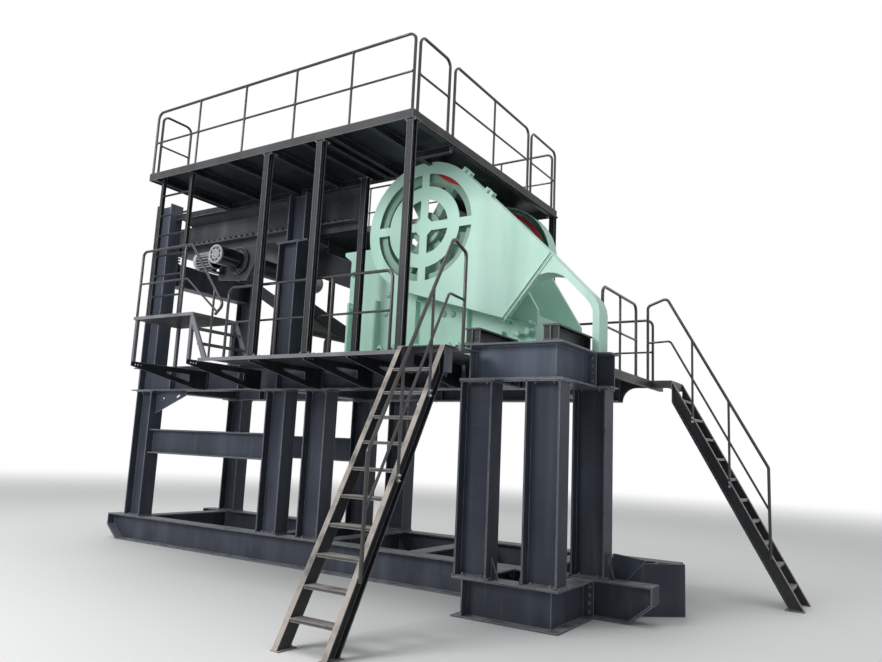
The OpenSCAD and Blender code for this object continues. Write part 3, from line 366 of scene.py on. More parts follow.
    def of_node(self, name: str) -> Union[Paint, BareMetal]:
        """The finish of a CAD node."""
        groups = ((self.STRUCTURE, self.structure), (self.PLATE, self.plate), (self.TUBE, self.tube),
                  (self.MINT, self.mint), (("front_stair", "rear_stair"), self.stair),
                  (("front_stair_treads", "rear_stair_treads"), self.tread), (("eccentric_shaft",), self.bare),
                  (("fixed_jaw",), self.iron), (("deck_floor",), self.fascia), (("hopper",), self.hopper),
                  (("head_frame",), self.head), (("feeder_pan",), self.pan), (("exciter",), self.gloss),
                  (("landing",), self.trim),
                  (("exciter_motor",), self.motor), (("flywheel_front", "flywheel_rear"), self.mint_painted_shade))
        for names, finish in groups:
            if name in names:
                return finish
        return self.shade

    def second(self, name: str, face: bpy.types.MeshPolygon) -> Optional[Union[Paint, BareMetal]]:
        """The other finish of a face, where a node has more than one.

        Args:
            name: The CAD node.
            face: One of its faces.

        Returns:
            The finish, or None where the node's own one stays.
        """
        # Painted shade: downward faces of the deck floor and the landing take the near-black paint.
        if name in ("deck_floor", "landing") and face.normal.z < -0.5:
            return self.shade
        if name == "walkway_floor" and abs(face.normal.z) < 0.5:
            return self.trim
        # Painted shade: every stair face but the stringers' sloping tops takes the near-black paint.
        if name in ("front_stair", "rear_stair") and not Stairs().tops_stringer(name == "front_stair", face):
            return self.shade
        if name == "exciter" and abs(face.center.y) < 0.775:
            return self.pan
        return None

    def dress(self, nodes: dict[str, bpy.types.Object]) -> None:
        """Gives every CAD node its finish."""
        for name, node in nodes.items():
            slots = [self.of_node(name)]
            node.data.materials.clear()
            for face in node.data.polygons:
                finish = self.second(name, face) or slots[0]
                if finish not in slots:
                    slots.append(finish)
                face.material_index = slots.index(finish)
            for finish in slots:
                node.data.materials.append(self.get(finish))


@dataclass
class Mesh:
    """One joined mesh that grows by plain solids, all in the frame of the CAD."""

    name: str
    bm: bmesh.types.BMesh = field(default_factory=bmesh.new)

    def prism(self, points: Sequence[Point], depth: Point) -> None:
        """A closed prism.

        Args:
            points: Corners of one end, in order.
            depth: The way from that end to the other.
        """
        near = [self.bm.verts.new(p) for p in points]
        far = [self.bm.verts.new(Vector(p) + Vector(depth)) for p in points]
        n = len(points)
        self.bm.faces.new(near[::-1])
        self.bm.faces.new(far)
        for i in range(n):
            self.bm.faces.new((near[i], near[(i + 1) % n], far[(i + 1) % n], far[i]))

    def block(self, low: Point, high: Point) -> None:
        """A block between two corners."""
        (x0, y0, z0), (x1, y1, z1) = low, high
        self.prism([(x0, y0, z0), (x1, y0, z0), (x1, y1, z0), (x0, y1, z0)], (0, 0, z1 - z0))

    def crescent(self, centre: Point, radius: float, width: float, span: tuple[float, float], depth: float) -> None:
        """A flat crescent that stands square to Y.

        Args:
            centre: Centre of its outer arc.
            radius: Radius of that arc.
            width: Its greatest width.
            span: Its first and last angle in degrees, from +X towards +Z.
            depth: Its thickness along Y.
        """
        x, y, z = centre
        parts, tip = 24, 0.004
        outer, inner = [], []
        for k in range(parts + 1):
            a = math.radians(span[0] + (span[1] - span[0]) * k / parts)
            narrow = radius - tip - width * math.sin(math.pi * k / parts)
            for arc, r in ((outer, radius), (inner, narrow)):
                arc.append((x + r * math.cos(a), y, z + r * math.sin(a)))
        self.prism(inner + outer[::-1], (0, depth, 0))

    def turned(self, centre: Point, axis: Point, profile: Sequence[tuple[float, float]], sides: int = 16,
               smooth: bool = True, hollow: bool = False) -> None:
        """A turned solid.

        Args:
            centre: Where the axis starts.
            axis: The axis' direction.
            profile: Radius and height of each ring, from the start on.
            sides: Number of sides.
            smooth: Whether the sides are shaded round.
            hollow: Whether the profile closes on itself, as a hoop's does.
        """
        turn = Vector(axis).to_track_quat("Z", "Y").to_matrix().to_4x4()
        place = Matrix.Translation(centre) @ turn
        rings = [[self.bm.verts.new(place @ Vector((r * math.cos(a), r * math.sin(a), h)))
                  for a in (2 * math.pi * k / sides for k in range(sides))] for r, h in profile]
        pairs = list(zip(rings, rings[1:]))
        if hollow:
            pairs.append((rings[-1], rings[0]))
        else:
            self.bm.faces.new(rings[0][::-1])
            self.bm.faces.new(rings[-1])
        for low, high in pairs:
            for k in range(sides):
                face = self.bm.faces.new((low[k], low[(k + 1) % sides], high[(k + 1) % sides], high[k]))
                face.smooth = smooth

    def bolt(self, at: Point, axis: Point, size: float = 0.03) -> None:
        """A hexagon bolt head on its washer, with the thread's end.

        Args:
            at: The point where the washer lies.
            axis: The way that the head points.
            size: Width of the head over its corners.
        """
        self.turned(at, axis, [(size * 0.72, 0.0), (size * 0.72, size * 0.1)], 12)
        hexagon = [(size * 0.5, size * 0.08), (size * 0.5, size * 0.5), (size * 0.42, size * 0.58)]
        self.turned(at, axis, hexagon, 6, False)
        self.turned(at, axis, [(size * 0.26, size * 0.5), (size * 0.26, size * 0.85)], 8)

    def tube(self, path: Sequence[Point], radius: float, sides: int = 10, ripple: float = 0.0) -> None:
        """A round bar along a path.

        Args:
            path: Points of its centre line.
            radius: Its radius.
            sides: Number of sides.
            ripple: Share by which every other ring is thicker.
        """
        points = [Vector(p) for p in path]
        rings = []
        side = None
        for i, p in enumerate(points):
            way = (points[min(i + 1, len(points) - 1)] - points[max(i - 1, 0)]).normalized()
            if side is None:
                side = way.orthogonal().normalized()
            side = (side - way * side.dot(way)).normalized()
            up = way.cross(side)
            r = radius * (1.0 + ripple * (i % 2))
            rings.append([self.bm.verts.new(p + side * (r * math.cos(a)) + up * (r * math.sin(a)))
                          for a in (2 * math.pi * k / sides for k in range(sides))])
        self.bm.faces.new(rings[0][::-1])
        self.bm.faces.new(rings[-1])
        for low, high in zip(rings, rings[1:]):
            for k in range(sides):
                face = self.bm.faces.new((low[k], low[(k + 1) % sides], high[(k + 1) % sides], high[k]))
                face.smooth = True

    def weld(self, start: Point, end: Point, size: float = 0.009) -> None:
        """A rippled weld bead between two points."""
        a, b = Vector(start), Vector(end)
        steps = max(2, int((b - a).length / 0.03))
        self.tube([a.lerp(b, k / steps) for k in range(steps + 1)], size, 6, 0.3)

    def piece(self, material: bpy.types.Material, body: Body = Body.FRAME) -> bpy.types.Object:
        """Turns the mesh into a piece that rides on a body.

        Args:
            material: The piece's material.
            body: The body that it rides on.

        Returns:
            The new object.
        """
        bmesh.ops.recalc_face_normals(self.bm, faces=self.bm.faces)
        data = bpy.data.meshes.new(self.name)
        self.bm.to_mesh(data)
        self.bm.free()
        data.materials.append(material)
        made = bpy.data.objects.new(self.name, data)
        bpy.context.scene.collection.objects.link(made)
        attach(made, body.value)
        LOG.info("%s: %d faces, on %s", self.name, len(data.polygons), body.value)
        return made


@dataclass
class SteelFrame:
    """Bolts, welds and foot plates of the skid, the columns, the tower and the beams."""

    front_columns: tuple[float, ...] = (-4.46, -1.03, -0.16, 4.36)
    rear_columns: tuple[float, ...] = (-4.46, -1.03, -0.16, 3.52)
    tower_columns: tuple[float, ...] = (3.355, 4.225)
    tower_webs: tuple[float, float] = (3.26, 4.32)
    rails: tuple[float, float] = (3.26, 4.295)
    upper: tuple[float, float] = (-4.46, -1.03)
    beam_y: float = 1.12
    tower_y: float = -2.20
    joint_y: float = -1.272
    foot_z: float = 0.47
    head_z: float = 2.73
    beam_z: float = 2.75
    top_z: float = 3.19
    depth: float = 0.43
    flange: float = 0.28
    weld_in: float = 0.022
    plate: float = 0.02

    def spots(self) -> list[tuple[float, float]]:
        """Centre of every column."""
        rows = ((self.front_columns, -self.beam_y), (self.rear_columns, self.beam_y),
                (self.tower_columns, self.tower_y))
        return [(x, y) for xs, y in rows for x in xs]

    def bolts(self, finishes: Finishes) -> None:
        """Four bolts on each base plate and four under each head plate."""
        mesh = Mesh("column_bolts")
        for x, y in self.spots():
            for dx in (-0.12, 0.12):
                for dy in (-0.085, 0.085):
                    mesh.bolt((x + dx, y + dy, self.foot_z), (0, 0, 1), 0.036)
                    mesh.bolt((x + dx, y + dy, self.head_z), (0, 0, -1), 0.036)
        mesh.piece(finishes.get(finishes.structure))

    def joint_bolts(self, finishes: Finishes) -> None:
        """Rows of bolts on the tower's end plates, and on the feet of its motor rails."""
        mesh = Mesh("tower_joint_bolts")
        for x in self.tower_webs:
            for dx in (-0.085, 0.085):
                for z in (0.08, 0.18, 0.27, 0.37):
                    for base in (0.0, self.beam_z):
                        mesh.bolt((x + dx, self.joint_y, base + z), (0, -1, 0), 0.032)
        for x in self.rails:
            for dx in (-0.065, 0.065):
                for y in (-2.20, -1.90, -1.60, -1.40):
                    mesh.bolt((x + dx, y, self.top_z + 0.02), (0, 0, 1), 0.032)
        mesh.piece(finishes.get(finishes.shade))

    def foot_plates(self, finishes: Finishes) -> None:
        """Bolted plates under the upper columns, on the main beams."""
        mesh = Mesh("upper_foot_plates")
        half, wide = self.depth / 2 + self.plate, self.flange / 2
        for x in self.upper:
            for y in (-self.beam_y, self.beam_y):
                mesh.block((x - half, y - wide, self.top_z), (x + half, y + wide, self.top_z + self.plate))
                for dx in (-0.12, 0.12):
                    for dy in (-0.085, 0.085):
                        mesh.bolt((x + dx, y + dy, self.top_z + self.plate), (0, 0, 1), 0.036)
        mesh.piece(finishes.get(finishes.structure))

    def welds(self, finishes: Finishes) -> None:
        """Beads round the columns' feet and heads."""
        mesh = Mesh("column_welds")
        half, wide = self.depth / 2, self.flange / 2
        for x, y in self.spots():
            for z in (self.foot_z, self.head_z):
                for s in BOTH_SIDES:
                    mesh.weld((x + s * half, y - wide, z), (x + s * half, y + wide, z))
                    mesh.weld((x - half + self.weld_in, y + s * 0.007, z), (x + half - self.weld_in, y + s * 0.007, z))
        mesh.piece(finishes.get(finishes.structure))

    def ground_seams(self, finishes: Finishes) -> None:
        """Bright ground seams along the tower columns' base and head plates."""
        mesh = Mesh("ground_seams")
        half, front = self.depth / 2 + self.plate, self.tower_y - self.flange / 2
        for x in self.tower_columns:
            mesh.weld((x - half, front, self.foot_z - self.plate), (x + half, front, self.foot_z - self.plate), 0.008)
            mesh.weld((x - half + 0.05, front, self.head_z), (x + half - 0.03, front, self.head_z), 0.005)
            for s in BOTH_SIDES:
                mesh.weld((x + s * half, front, self.foot_z), (x + s * half, front + 0.2, self.foot_z), 0.007)
        mesh.piece(finishes.get(finishes.seam))

    def build(self, finishes: Finishes) -> None:
        """Makes every piece of the sub-assembly."""
        self.bolts(finishes)
        self.joint_bolts(finishes)
        self.foot_plates(finishes)
        self.welds(finishes)
        self.ground_seams(finishes)


@dataclass(frozen=True)
class RailRun:
    """One straight handrail panel: its two end posts on the floor and its number of bays."""

    start: tuple[float, float, float]
    end: tuple[float, float, float]
    bays: int
    height: float = 1.08
    foot: float = 0.014


@dataclass
class Walkways:
    """Feet of the rails, plates and bolts of the deck posts, on the walkways and the deck."""

    runs: tuple[RailRun, ...] = (
        RailRun((-2.75, -2.77, 6.21), (2.50, -2.77, 6.21), 5),
        RailRun((-2.75, 1.71, 6.21), (2.44, 1.71, 6.21), 5),
        RailRun((-2.76, -2.67, 6.21), (-2.76, -2.10, 6.21), 1),
        RailRun((2.51, -2.67, 6.21), (2.51, -1.93, 6.21), 1),
        RailRun((2.51, -1.79, 6.21), (2.51, 0.58, 6.21), 2),
        RailRun((2.51, 0.70, 6.21), (2.51, 1.68, 6.21), 1),
        RailRun((-0.74, -2.67, 3.08), (2.27, -2.67, 3.08), 3, 1.05),
        RailRun((-2.75, 1.757, 3.08), (4.26, 1.757, 3.08), 7, 1.05, 0.001),
        RailRun((4.39, -0.90, 3.08), (4.39, 0.49, 3.08), 2, 1.05))
    posts: tuple[tuple[float, float], ...] = ((-0.07, -2.72), (0.95, -2.72), (2.49, -2.72), (0.61, -1.31),
                                              (-2.59, 1.66), (0.05, 1.66), (2.49, 1.66))
    walk_z: float = 3.08
    deck_z: float = 6.09
    tube_r: float = 0.021
    mid_r: float = 0.0168
    brackets: tuple[float, ...] = (-2.746, -1.406, -0.07, 0.95, 1.70, 2.49)
    beam_y: float = -1.26

    def rail_feet(self, finishes: Finishes) -> None:
        """Weld cones at every post's foot, and beads where the rails meet the posts."""
        mesh = Mesh("rail_welds")
        for run in self.runs:
            start, end = Vector(run.start), Vector(run.end)
            for k in range(run.bays + 1):
                at = start.lerp(end, k / run.bays)
                r = self.tube_r if k in (0, run.bays) else self.mid_r
                mesh.turned(at, (0, 0, 1), [(r + run.foot, 0.0), (r + run.foot * 0.7, 0.006), (r, 0.014)], 16)
                middle = at + Vector((0, 0, run.height / 2))
                for s in BOTH_SIDES:
                    if 0 <= k + s * 0.5 <= run.bays:
                        way = (end - start).normalized() * s
                        mesh.turned(middle + way * r * 0.8, way, [(0.023, 0.0), (0.020, 0.008), (0.015, 0.014)], 12)
                if 0 < k < run.bays:
                    under = at + Vector((0, 0, run.height - self.tube_r))
                    mesh.turned(under, (0, 0, -1), [(r + 0.006, -0.006), (r + 0.004, 0.004), (r, 0.010)], 16)
        mesh.piece(finishes.get(finishes.tube))

    def post_plates(self, finishes: Finishes) -> None:
        """Foot and head plates of the deck posts, with their bolts."""
        mesh = Mesh("post_plates")
        half, thick = 0.072, 0.012
        for x, y in self.posts:
            low, high = (x - 0.085, y - half), (x + 0.085, y + half)
            mesh.block((*low, self.walk_z), (*high, self.walk_z + thick))
            mesh.block((*low, self.deck_z - thick), (*high, self.deck_z))
            for dx in (-0.068, 0.068):
                for dy in (-0.05, 0.05):
                    mesh.bolt((x + dx, y + dy, self.walk_z + thick), (0, 0, 1), 0.024)
                    mesh.bolt((x + dx, y + dy, self.deck_z - thick), (0, 0, -1), 0.024)
        mesh.piece(finishes.get(finishes.stair))

    def bracket_welds(self, finishes: Finishes) -> None:
        """Beads along the walkway brackets, at the beam and under the floor."""
        mesh = Mesh("bracket_welds")
        z0, z1 = 2.75, 3.07
        for x in self.brackets:
            for s in BOTH_SIDES:
                side = x + s * 0.006
                mesh.weld((side, self.beam_y, z0), (side, self.beam_y, z1 - 0.02), 0.006)
                mesh.weld((side, self.beam_y - 0.03, z1), (side, self.beam_y - 1.5, z1), 0.005)
        mesh.piece(finishes.get(finishes.shade))

    def build(self, finishes: Finishes) -> None:
        """Makes every piece of the sub-assembly."""
        self.rail_feet(finishes)
        self.post_plates(finishes)
        self.bracket_welds(finishes)


@dataclass
class Stairs:
    """Foot plates, rail clamps and tread welds of both stairs."""

    front: tuple[float, float, float] = (2.68, -3.05, 3.08)
    rear: tuple[float, float, float] = (4.73, 1.12, 3.08)
    width: float = 0.66
    channel: float = 0.064
    steps: int = 11
    going: float = 0.156
    rise: float = 0.28
    foot_l: float = 0.185
    foot_t: float = 0.012
    foot_lip: float = 0.012
    tread_d: float = 0.15

    def tops_stringer(self, front: bool, face: bpy.types.MeshPolygon) -> bool:
        """Whether a stair's face is the upper side of a stringer.

        Args:
            front: Whether it is the front stair.
            face: The face.

        Returns:
            True for the sloping faces that can be trodden on.
        """
        run = self.front[1] - face.center.y if front else face.center.x - self.rear[0]
        slope = self.front[2] - run * self.rise / self.going
        return face.normal.z > 0.3 and face.center.z > slope - 0.15

    def spot(self, front: bool, run: float, across: float, drop: float) -> Vector:
        """A point of a stair.

        Args:
            front: Whether it is the front stair.
            run: Way out from the stair's head.
            across: Way over its width.
            drop: Way down from the floor.

        Returns:
            The point in the frame of the CAD.
        """
        x, y, z = self.front if front else self.rear
        return Vector((x + across, y - run, z - drop)) if front else Vector((x + run, y + across, z - drop))

    def feet(self, finishes: Finishes) -> None:
        """Plates under the stringers with an anchor bolt on each side."""
        mesh = Mesh("stair_feet")
        end = self.steps * self.going
        for front in (True, False):
            far = self.width + (self.foot_lip if front else 0.0)
            for inner, outer in ((self.channel + 0.03, -self.foot_lip), (self.width - self.channel - 0.03, far)):
                a = self.spot(front, end - self.foot_l - 0.06, inner, self.front[2])
                b = self.spot(front, end - 0.004, outer, self.front[2] - self.foot_t)
                low = [min(p, q) for p, q in zip(a, b)]
                high = [max(p, q) for p, q in zip(a, b)]
                mesh.block(low, high)
                at = self.spot(front, end - self.foot_l - 0.035, (inner + outer) / 2, self.front[2] - self.foot_t)
                mesh.bolt(at, (0, 0, 1), 0.028)
        mesh.piece(finishes.get(finishes.tread))

    def tread_welds(self, finishes: Finishes) -> None:
        """A bead under each end of every tread."""
        mesh = Mesh("tread_welds")
        for front in (True, False):
            for k in range(1, self.steps):
                run, drop = k * self.going, k * self.rise + 0.008
                for across in (self.channel + 0.003, self.width - self.channel - 0.003):
                    mesh.weld(self.spot(front, run - self.tread_d + 0.01, across, drop),
                              self.spot(front, run - 0.01, across, drop), 0.006)
        mesh.piece(finishes.get(finishes.stair))

    def clamps(self, finishes: Finishes) -> None:
        """Bolts where the rail posts are clamped on the stringers."""
        mesh = Mesh("rail_clamps")
        slope = self.rise / self.going
        for front, across, out in ((True, self.width + 0.021, 1), (False, -0.021, -1)):
            for run in (0.31, 0.81):
                for more in (0.0, 0.055):
                    centre = self.spot(front, run, across, run * slope + more)
                    side = (Vector((1, 0, 0)) if front else Vector((0, 1, 0))) * out
                    mesh.bolt(centre + side * 0.014, side, 0.026)
        mesh.piece(finishes.get(finishes.zinc))

    def build(self, finishes: Finishes) -> None:
        """Makes every piece of the sub-assembly."""
        self.feet(finishes)
        self.tread_welds(finishes)
        self.clamps(finishes)


@dataclass
class Feeder:
    """Springs, exciter, motor and flange bolts of the vibrating feeder."""

    spring_xs: tuple[float, float] = (-4.46, -0.96)
    spring_y: float = 0.856
    seat_z: float = 5.27
    flange_z: float = 5.59
    exciter: tuple[float, float] = (-2.72, 5.20)
    flange_y: float = 0.83
    end_y: float = 1.35
    end_r: float = 0.169
    motor: tuple[float, float, float] = (-3.50, -1.02, 5.20)
    motor_l: float = 0.42
    motor_r: float = 0.15
    bolt_x0: float = -4.42
    bolt_pitch: float = 0.15
    bolt_count: int = 30
    bolt_y: float = 0.89
    bolt_z: float = 5.61

    def springs(self, finishes: Finishes) -> None:
        """Four coil springs between their cups, in place of the plain ones."""
        mesh = Mesh("spring_coils")
        rise = self.flange_z - self.seat_z
        turns, wire, radius = 5.0, 0.017, 0.06
        cup = [(0.078, 0.0), (0.078, 0.02), (0.045, 0.02), (0.04, 0.06)]
        for x in self.spring_xs:
            for y in (-self.spring_y, self.spring_y):
                path = []
                for k in range(int(turns * 20) + 1):
                    a = 2 * math.pi * k / 20
                    share = k / (turns * 20)
                    path.append((x + radius * math.cos(a), y + radius * math.sin(a),
                                 self.seat_z + wire + share * (rise - 2 * wire)))
                mesh.tube(path, wire, 8)
                for z, way in ((self.seat_z, 1), (self.flange_z, -1)):
                    mesh.turned((x, y, z), (0, 0, way), cup, 24)
        made = mesh.piece(finishes.get(finishes.shade))
        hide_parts("feeder_springs")

    def exciter_bolts(self, finishes: Finishes) -> None:
        """The ring of bolts on both flanges of the exciter."""
        mesh = Mesh("exciter_bolts")
        x, z = self.exciter
        for s in BOTH_SIDES:
            for k in range(20):
                a = 2 * math.pi * k / 20
                mesh.bolt((x + 0.222 * math.cos(a), s * self.flange_y, z + 0.222 * math.sin(a)), (0, s, 0), 0.05)
        mesh.piece(finishes.get(finishes.gloss))

    def end_covers(self, finishes: Finishes) -> None:
        """Slotted covers on both ends of the exciter."""
        mesh = Mesh("exciter_covers")
        x, z = self.exciter
        for s in BOTH_SIDES:
            face = (x, s * (self.end_y - 0.03), z)
            for r, w in ((self.end_r + 0.005, 0.034), (0.088, 0.030), (0.040, 0.030)):
                hoop = [(r - w, 0.02), (r - w, 0.042), (r, 0.042), (r, 0.0)]
                mesh.turned(face, (0, s, 0), hoop, 48, hollow=True)
            for k in range(8):
                a = 2 * math.pi * k / 8
                out, across = Vector((math.cos(a), 0, math.sin(a))), Vector((-math.sin(a), 0, math.cos(a)))
                base = Vector((x, s * (self.end_y - 0.008), z)) + out * 0.03
                corners = [base - across * 0.011, base + out * 0.125 - across * 0.011,
                           base + out * 0.125 + across * 0.011, base + across * 0.011]
                mesh.prism(corners, (0, s * 0.016, 0))
        mesh.piece(finishes.get(finishes.cover))

    def motor_fins_painted_light(self, finishes: Finishes) -> None:
        """Cooling fins round the motor, its fan cover and its end shield; the pale fins on the near-black body are a
        painted highlight, with painted shade between them.
        """
        mesh = Mesh("motor_fins_painted_light")
        x, y, z = self.motor
        for k in range(20):
            a = 2 * math.pi * k / 20
            out, across = Vector((0, math.cos(a), math.sin(a))), Vector((0, -math.sin(a), math.cos(a)))
            base = Vector((x + 0.04, y, z)) + out * (self.motor_r - 0.004) - across * 0.006
            corners = [base, base + out * 0.030, base + out * 0.030 + across * 0.012, base + across * 0.012]
            mesh.prism(corners, (self.motor_l - 0.06, 0, 0))
        cap = [(self.motor_r + 0.022, -0.05), (self.motor_r + 0.022, 0.03), (0.12, 0.05), (0.05, 0.055)]
        mesh.turned((x, y, z), (-1, 0, 0), cap, 32)
        mesh.turned((x + self.motor_l, y, z), (1, 0, 0), [(self.motor_r + 0.02, -0.03), (self.motor_r + 0.02, 0.0)], 32)
        mesh.piece(finishes.get(finishes.cover))

    def flange_bolts(self, finishes: Finishes) -> None:
        """The row of bolts on the feeder's long flanges."""
        mesh = Mesh("feeder_bolts")
        for s in BOTH_SIDES:
            for k in range(self.bolt_count):
                mesh.bolt((self.bolt_x0 + k * self.bolt_pitch, s * self.bolt_y, self.bolt_z), (0, 0, 1), 0.076)
        mesh.piece(finishes.get(finishes.gloss))

    def build(self, finishes: Finishes) -> None:
        """Makes every piece of the sub-assembly."""
        self.springs(finishes)
        self.exciter_bolts(finishes)
        self.end_covers(finishes)
        self.motor_fins_painted_light(finishes)
        self.flange_bolts(finishes)


@dataclass
class Crusher:
    """Bolts, clamps, welds and tension rods on the crusher's body."""

    side_y: float = 0.82
    foot_z: float = 3.24
    shaft: tuple[float, float] = (1.76, 5.15)
    housing_y: float = 0.92
    saddle_z: float = 5.01
    liner_bolts: tuple[tuple[float, float], ...] = ((0.79, 3.98), (0.83, 4.28), (0.08, 4.68), (0.12, 4.12),
                                                    (1.88, 3.91), (2.04, 3.90))
    clamp_xs: tuple[float, ...] = (0.32, 0.85, 1.09, 1.55, 2.10, 2.26, 3.02)
    rib_edges: tuple[tuple[float, float], ...] = ((0.06, 1.0), (0.10, 1.0), (0.62, 1.0), (0.66, 1.0), (1.25, 0.94),
                                                  (1.42, 0.94), (2.30, 0.78), (2.34, 0.78), (2.88, 0.40), (2.92, 0.40))

    def bolts(self, finishes: Finishes) -> None:
        """Bolts of the cheek liners and of the bearing housings."""
        mesh, washers_painted_shade = Mesh("crusher_bolts"), Mesh("crusher_washers_painted_shade")
        x, z = self.shaft
        for s in BOTH_SIDES:
            for bx, bz in self.liner_bolts:
                # The washer rings are in the darker mint: a painted shade ring round each liner bolt.
                washers_painted_shade.turned((bx, s * self.side_y, bz), (0, s, 0), [(0.05, 0.0), (0.05, 0.010), (0.036, 0.015)], 20)
                mesh.bolt((bx, s * (self.side_y + 0.014), bz), (0, s, 0), 0.052)
            for dx in (-0.33, -0.25, 0.25, 0.33):
                mesh.bolt((x + dx, s * (self.housing_y - 0.08), self.saddle_z), (0, 0, 1), 0.06)
            for k in range(8):
                a = 2 * math.pi * (k + 0.5) / 8
                mesh.bolt((x + 0.165 * math.cos(a), s * self.housing_y, z + 0.165 * math.sin(a)), (0, s, 0), 0.03)
        mesh.piece(finishes.get(finishes.mint))
        washers_painted_shade.piece(finishes.get(finishes.mint_painted_shade))

    def clamps(self, finishes: Finishes) -> None:
        """Upright clamping blocks with their bolts on the foot flanges."""
        blocks, studs = Mesh("foot_clamps"), Mesh("foot_studs")
        z = self.foot_z
        for s in BOTH_SIDES:
            for x in self.clamp_xs:
                y = s * (self.side_y + 0.14)
                profile = [(x - 0.04, y, z), (x + 0.04, y, z), (x + 0.04, y, z + 0.17), (x, y, z + 0.21),
                           (x - 0.04, y, z + 0.17)]
                blocks.prism(profile, (0, s * 0.07, 0))
                blocks.weld((x - 0.045, y + s * 0.075, z), (x + 0.045, y + s * 0.075, z), 0.008)
                studs.bolt((x, y + s * 0.07, z + 0.13), (0, s, 0), 0.05)
                studs.bolt((x, y + s * 0.16, z), (0, 0, 1), 0.05)
        blocks.piece(finishes.get(finishes.mint))
        studs.piece(finishes.get(finishes.shade))

    def welds(self, finishes: Finishes) -> None:
        """Beads along the ribs and the foot flange."""
        mesh = Mesh("rib_welds")
        z = self.foot_z
        for s in BOTH_SIDES:
            y = s * self.side_y
            for x, height in self.rib_edges:
                mesh.weld((x, y, z), (x, y, z - 0.05 + height), 0.008)
            mesh.weld((0.04, y, z), (3.40, y, z), 0.009)
        mesh.piece(finishes.get(finishes.mint))

    def tension_rods(self, finishes: Finishes) -> None:
        """Short pivots and rods of the toggle's tension gear at the discharge end."""
        mesh = Mesh("tension_rods")
        for s in BOTH_SIDES:
            y = s * (self.side_y + 0.04)
            for x, z, r in ((3.19, 3.53, 0.045), (3.33, 3.56, 0.06)):
                mesh.turned((x, y, z), (0, s, 0), [(r, 0.0), (r, 0.05), (r * 0.6, 0.055), (r * 0.6, 0.10),
                                                   (r * 0.9, 0.10), (r * 0.9, 0.118), (r * 0.4, 0.125)], 24)
            start, end = Vector((3.12, y + s * 0.075, 3.52)), Vector((3.41, y + s * 0.075, 3.58))
            mesh.tube([start, end], 0.024, 16)
            plate = [(3.04, y, 3.80), (3.06, y, 3.83), (3.42, y, 3.69), (3.42, y, 3.66)]
            mesh.prism(plate, (0, s * 0.06, 0))
            mesh.turned((3.37, y + s * 0.075, 3.66), (0, 0, 1), [(0.03, 0.0), (0.03, 0.03), (0.02, 0.05)], 16)
        mesh.piece(finishes.get(finishes.mint))

    def build(self, finishes: Finishes) -> None:
        """Makes every piece of the sub-assembly."""
        self.bolts(finishes)
        self.clamps(finishes)
        self.welds(finishes)
        self.tension_rods(finishes)


@dataclass
class Guards:
    """Joint bolts, ear bolts and seams of the sheet guards."""

    shaft: tuple[float, float] = (1.76, 5.15)
    face_y: float = -1.302
    joint_d: float = 0.11
    joint_top: tuple[float, float] = (3.81, 4.54)
    joint_bot: tuple[float, float] = (3.13, 3.70)
    strip: float = 0.034
    edge_turn: float = math.radians(45.56)
    ear_r: float = 1.04

    def joint_bolts(self, finishes: Finishes) -> None:
        """Bolts through the strips of the diagonal joint."""
        mesh = Mesh("guard_joint_bolts")
        top, bottom = Vector(self.joint_top), Vector(self.joint_bot)
        way = (top - bottom).normalized()
        out = Vector((way.y, -way.x))
        y = self.face_y + self.joint_d / 2
        for k in range(6):
            at = bottom + way * (0.06 + 0.12 * k) + out * self.strip
            mesh.bolt((at.x, y, at.y), (out.x, 0, out.y), 0.034)
        mesh.piece(finishes.get(finishes.mint))

    def joint_lips(self, finishes: Finishes) -> None:
        """Two bright lips along the whole joint, with a thin plate of darker mint between them as a painted shade in
        the recess.
        """
        top, bottom = Vector(self.joint_top), Vector(self.joint_bot)
        way = (top - bottom).normalized()
        out = Vector((way.y, -way.x))
        lips, groove_painted_shade = Mesh("guard_joint_lips"), Mesh("guard_joint_groove_painted_shade")
        for mesh, near, far, depth in ((lips, -0.006, 0.004, 0.016), (groove_painted_shade, 0.004, 0.044, 0.002),
                                       (lips, 0.044, 0.056, 0.016)):
            corners = [bottom + out * near, top + out * near, top + out * far, bottom + out * far]
            mesh.prism([(c.x, self.face_y, c.y) for c in corners], (0, -depth, 0))
        lips.piece(finishes.get(finishes.mint))
        groove_painted_shade.piece(finishes.get(finishes.mint_painted_shade))

    def ear_bolts(self, finishes: Finishes) -> None:
        """A bolt through each pair of ears on the upper edge."""
        mesh = Mesh("guard_ear_bolts")
        c, s = math.cos(self.edge_turn), math.sin(self.edge_turn)
        y = self.face_y + self.joint_d / 2
        for low, high in ((-0.05, 0.10), (-0.58, -0.43)):
            ends = []
            for t in (low, high):
                ends.append(Vector((self.shaft[0] + self.ear_r * c - t * s, y, self.shaft[1] + self.ear_r * s + t * c)))
            way = (ends[1] - ends[0]).normalized()
            mesh.tube(ends, 0.011, 10)
            mesh.bolt(ends[0], -way, 0.034)
            mesh.bolt(ends[1], way, 0.034)
        mesh.piece(finishes.get(finishes.zinc))

    def build(self, finishes: Finishes) -> None:
        """Makes every piece of the sub-assembly."""
        self.joint_bolts(finishes)
        self.joint_lips(finishes)
        self.ear_bolts(finishes)


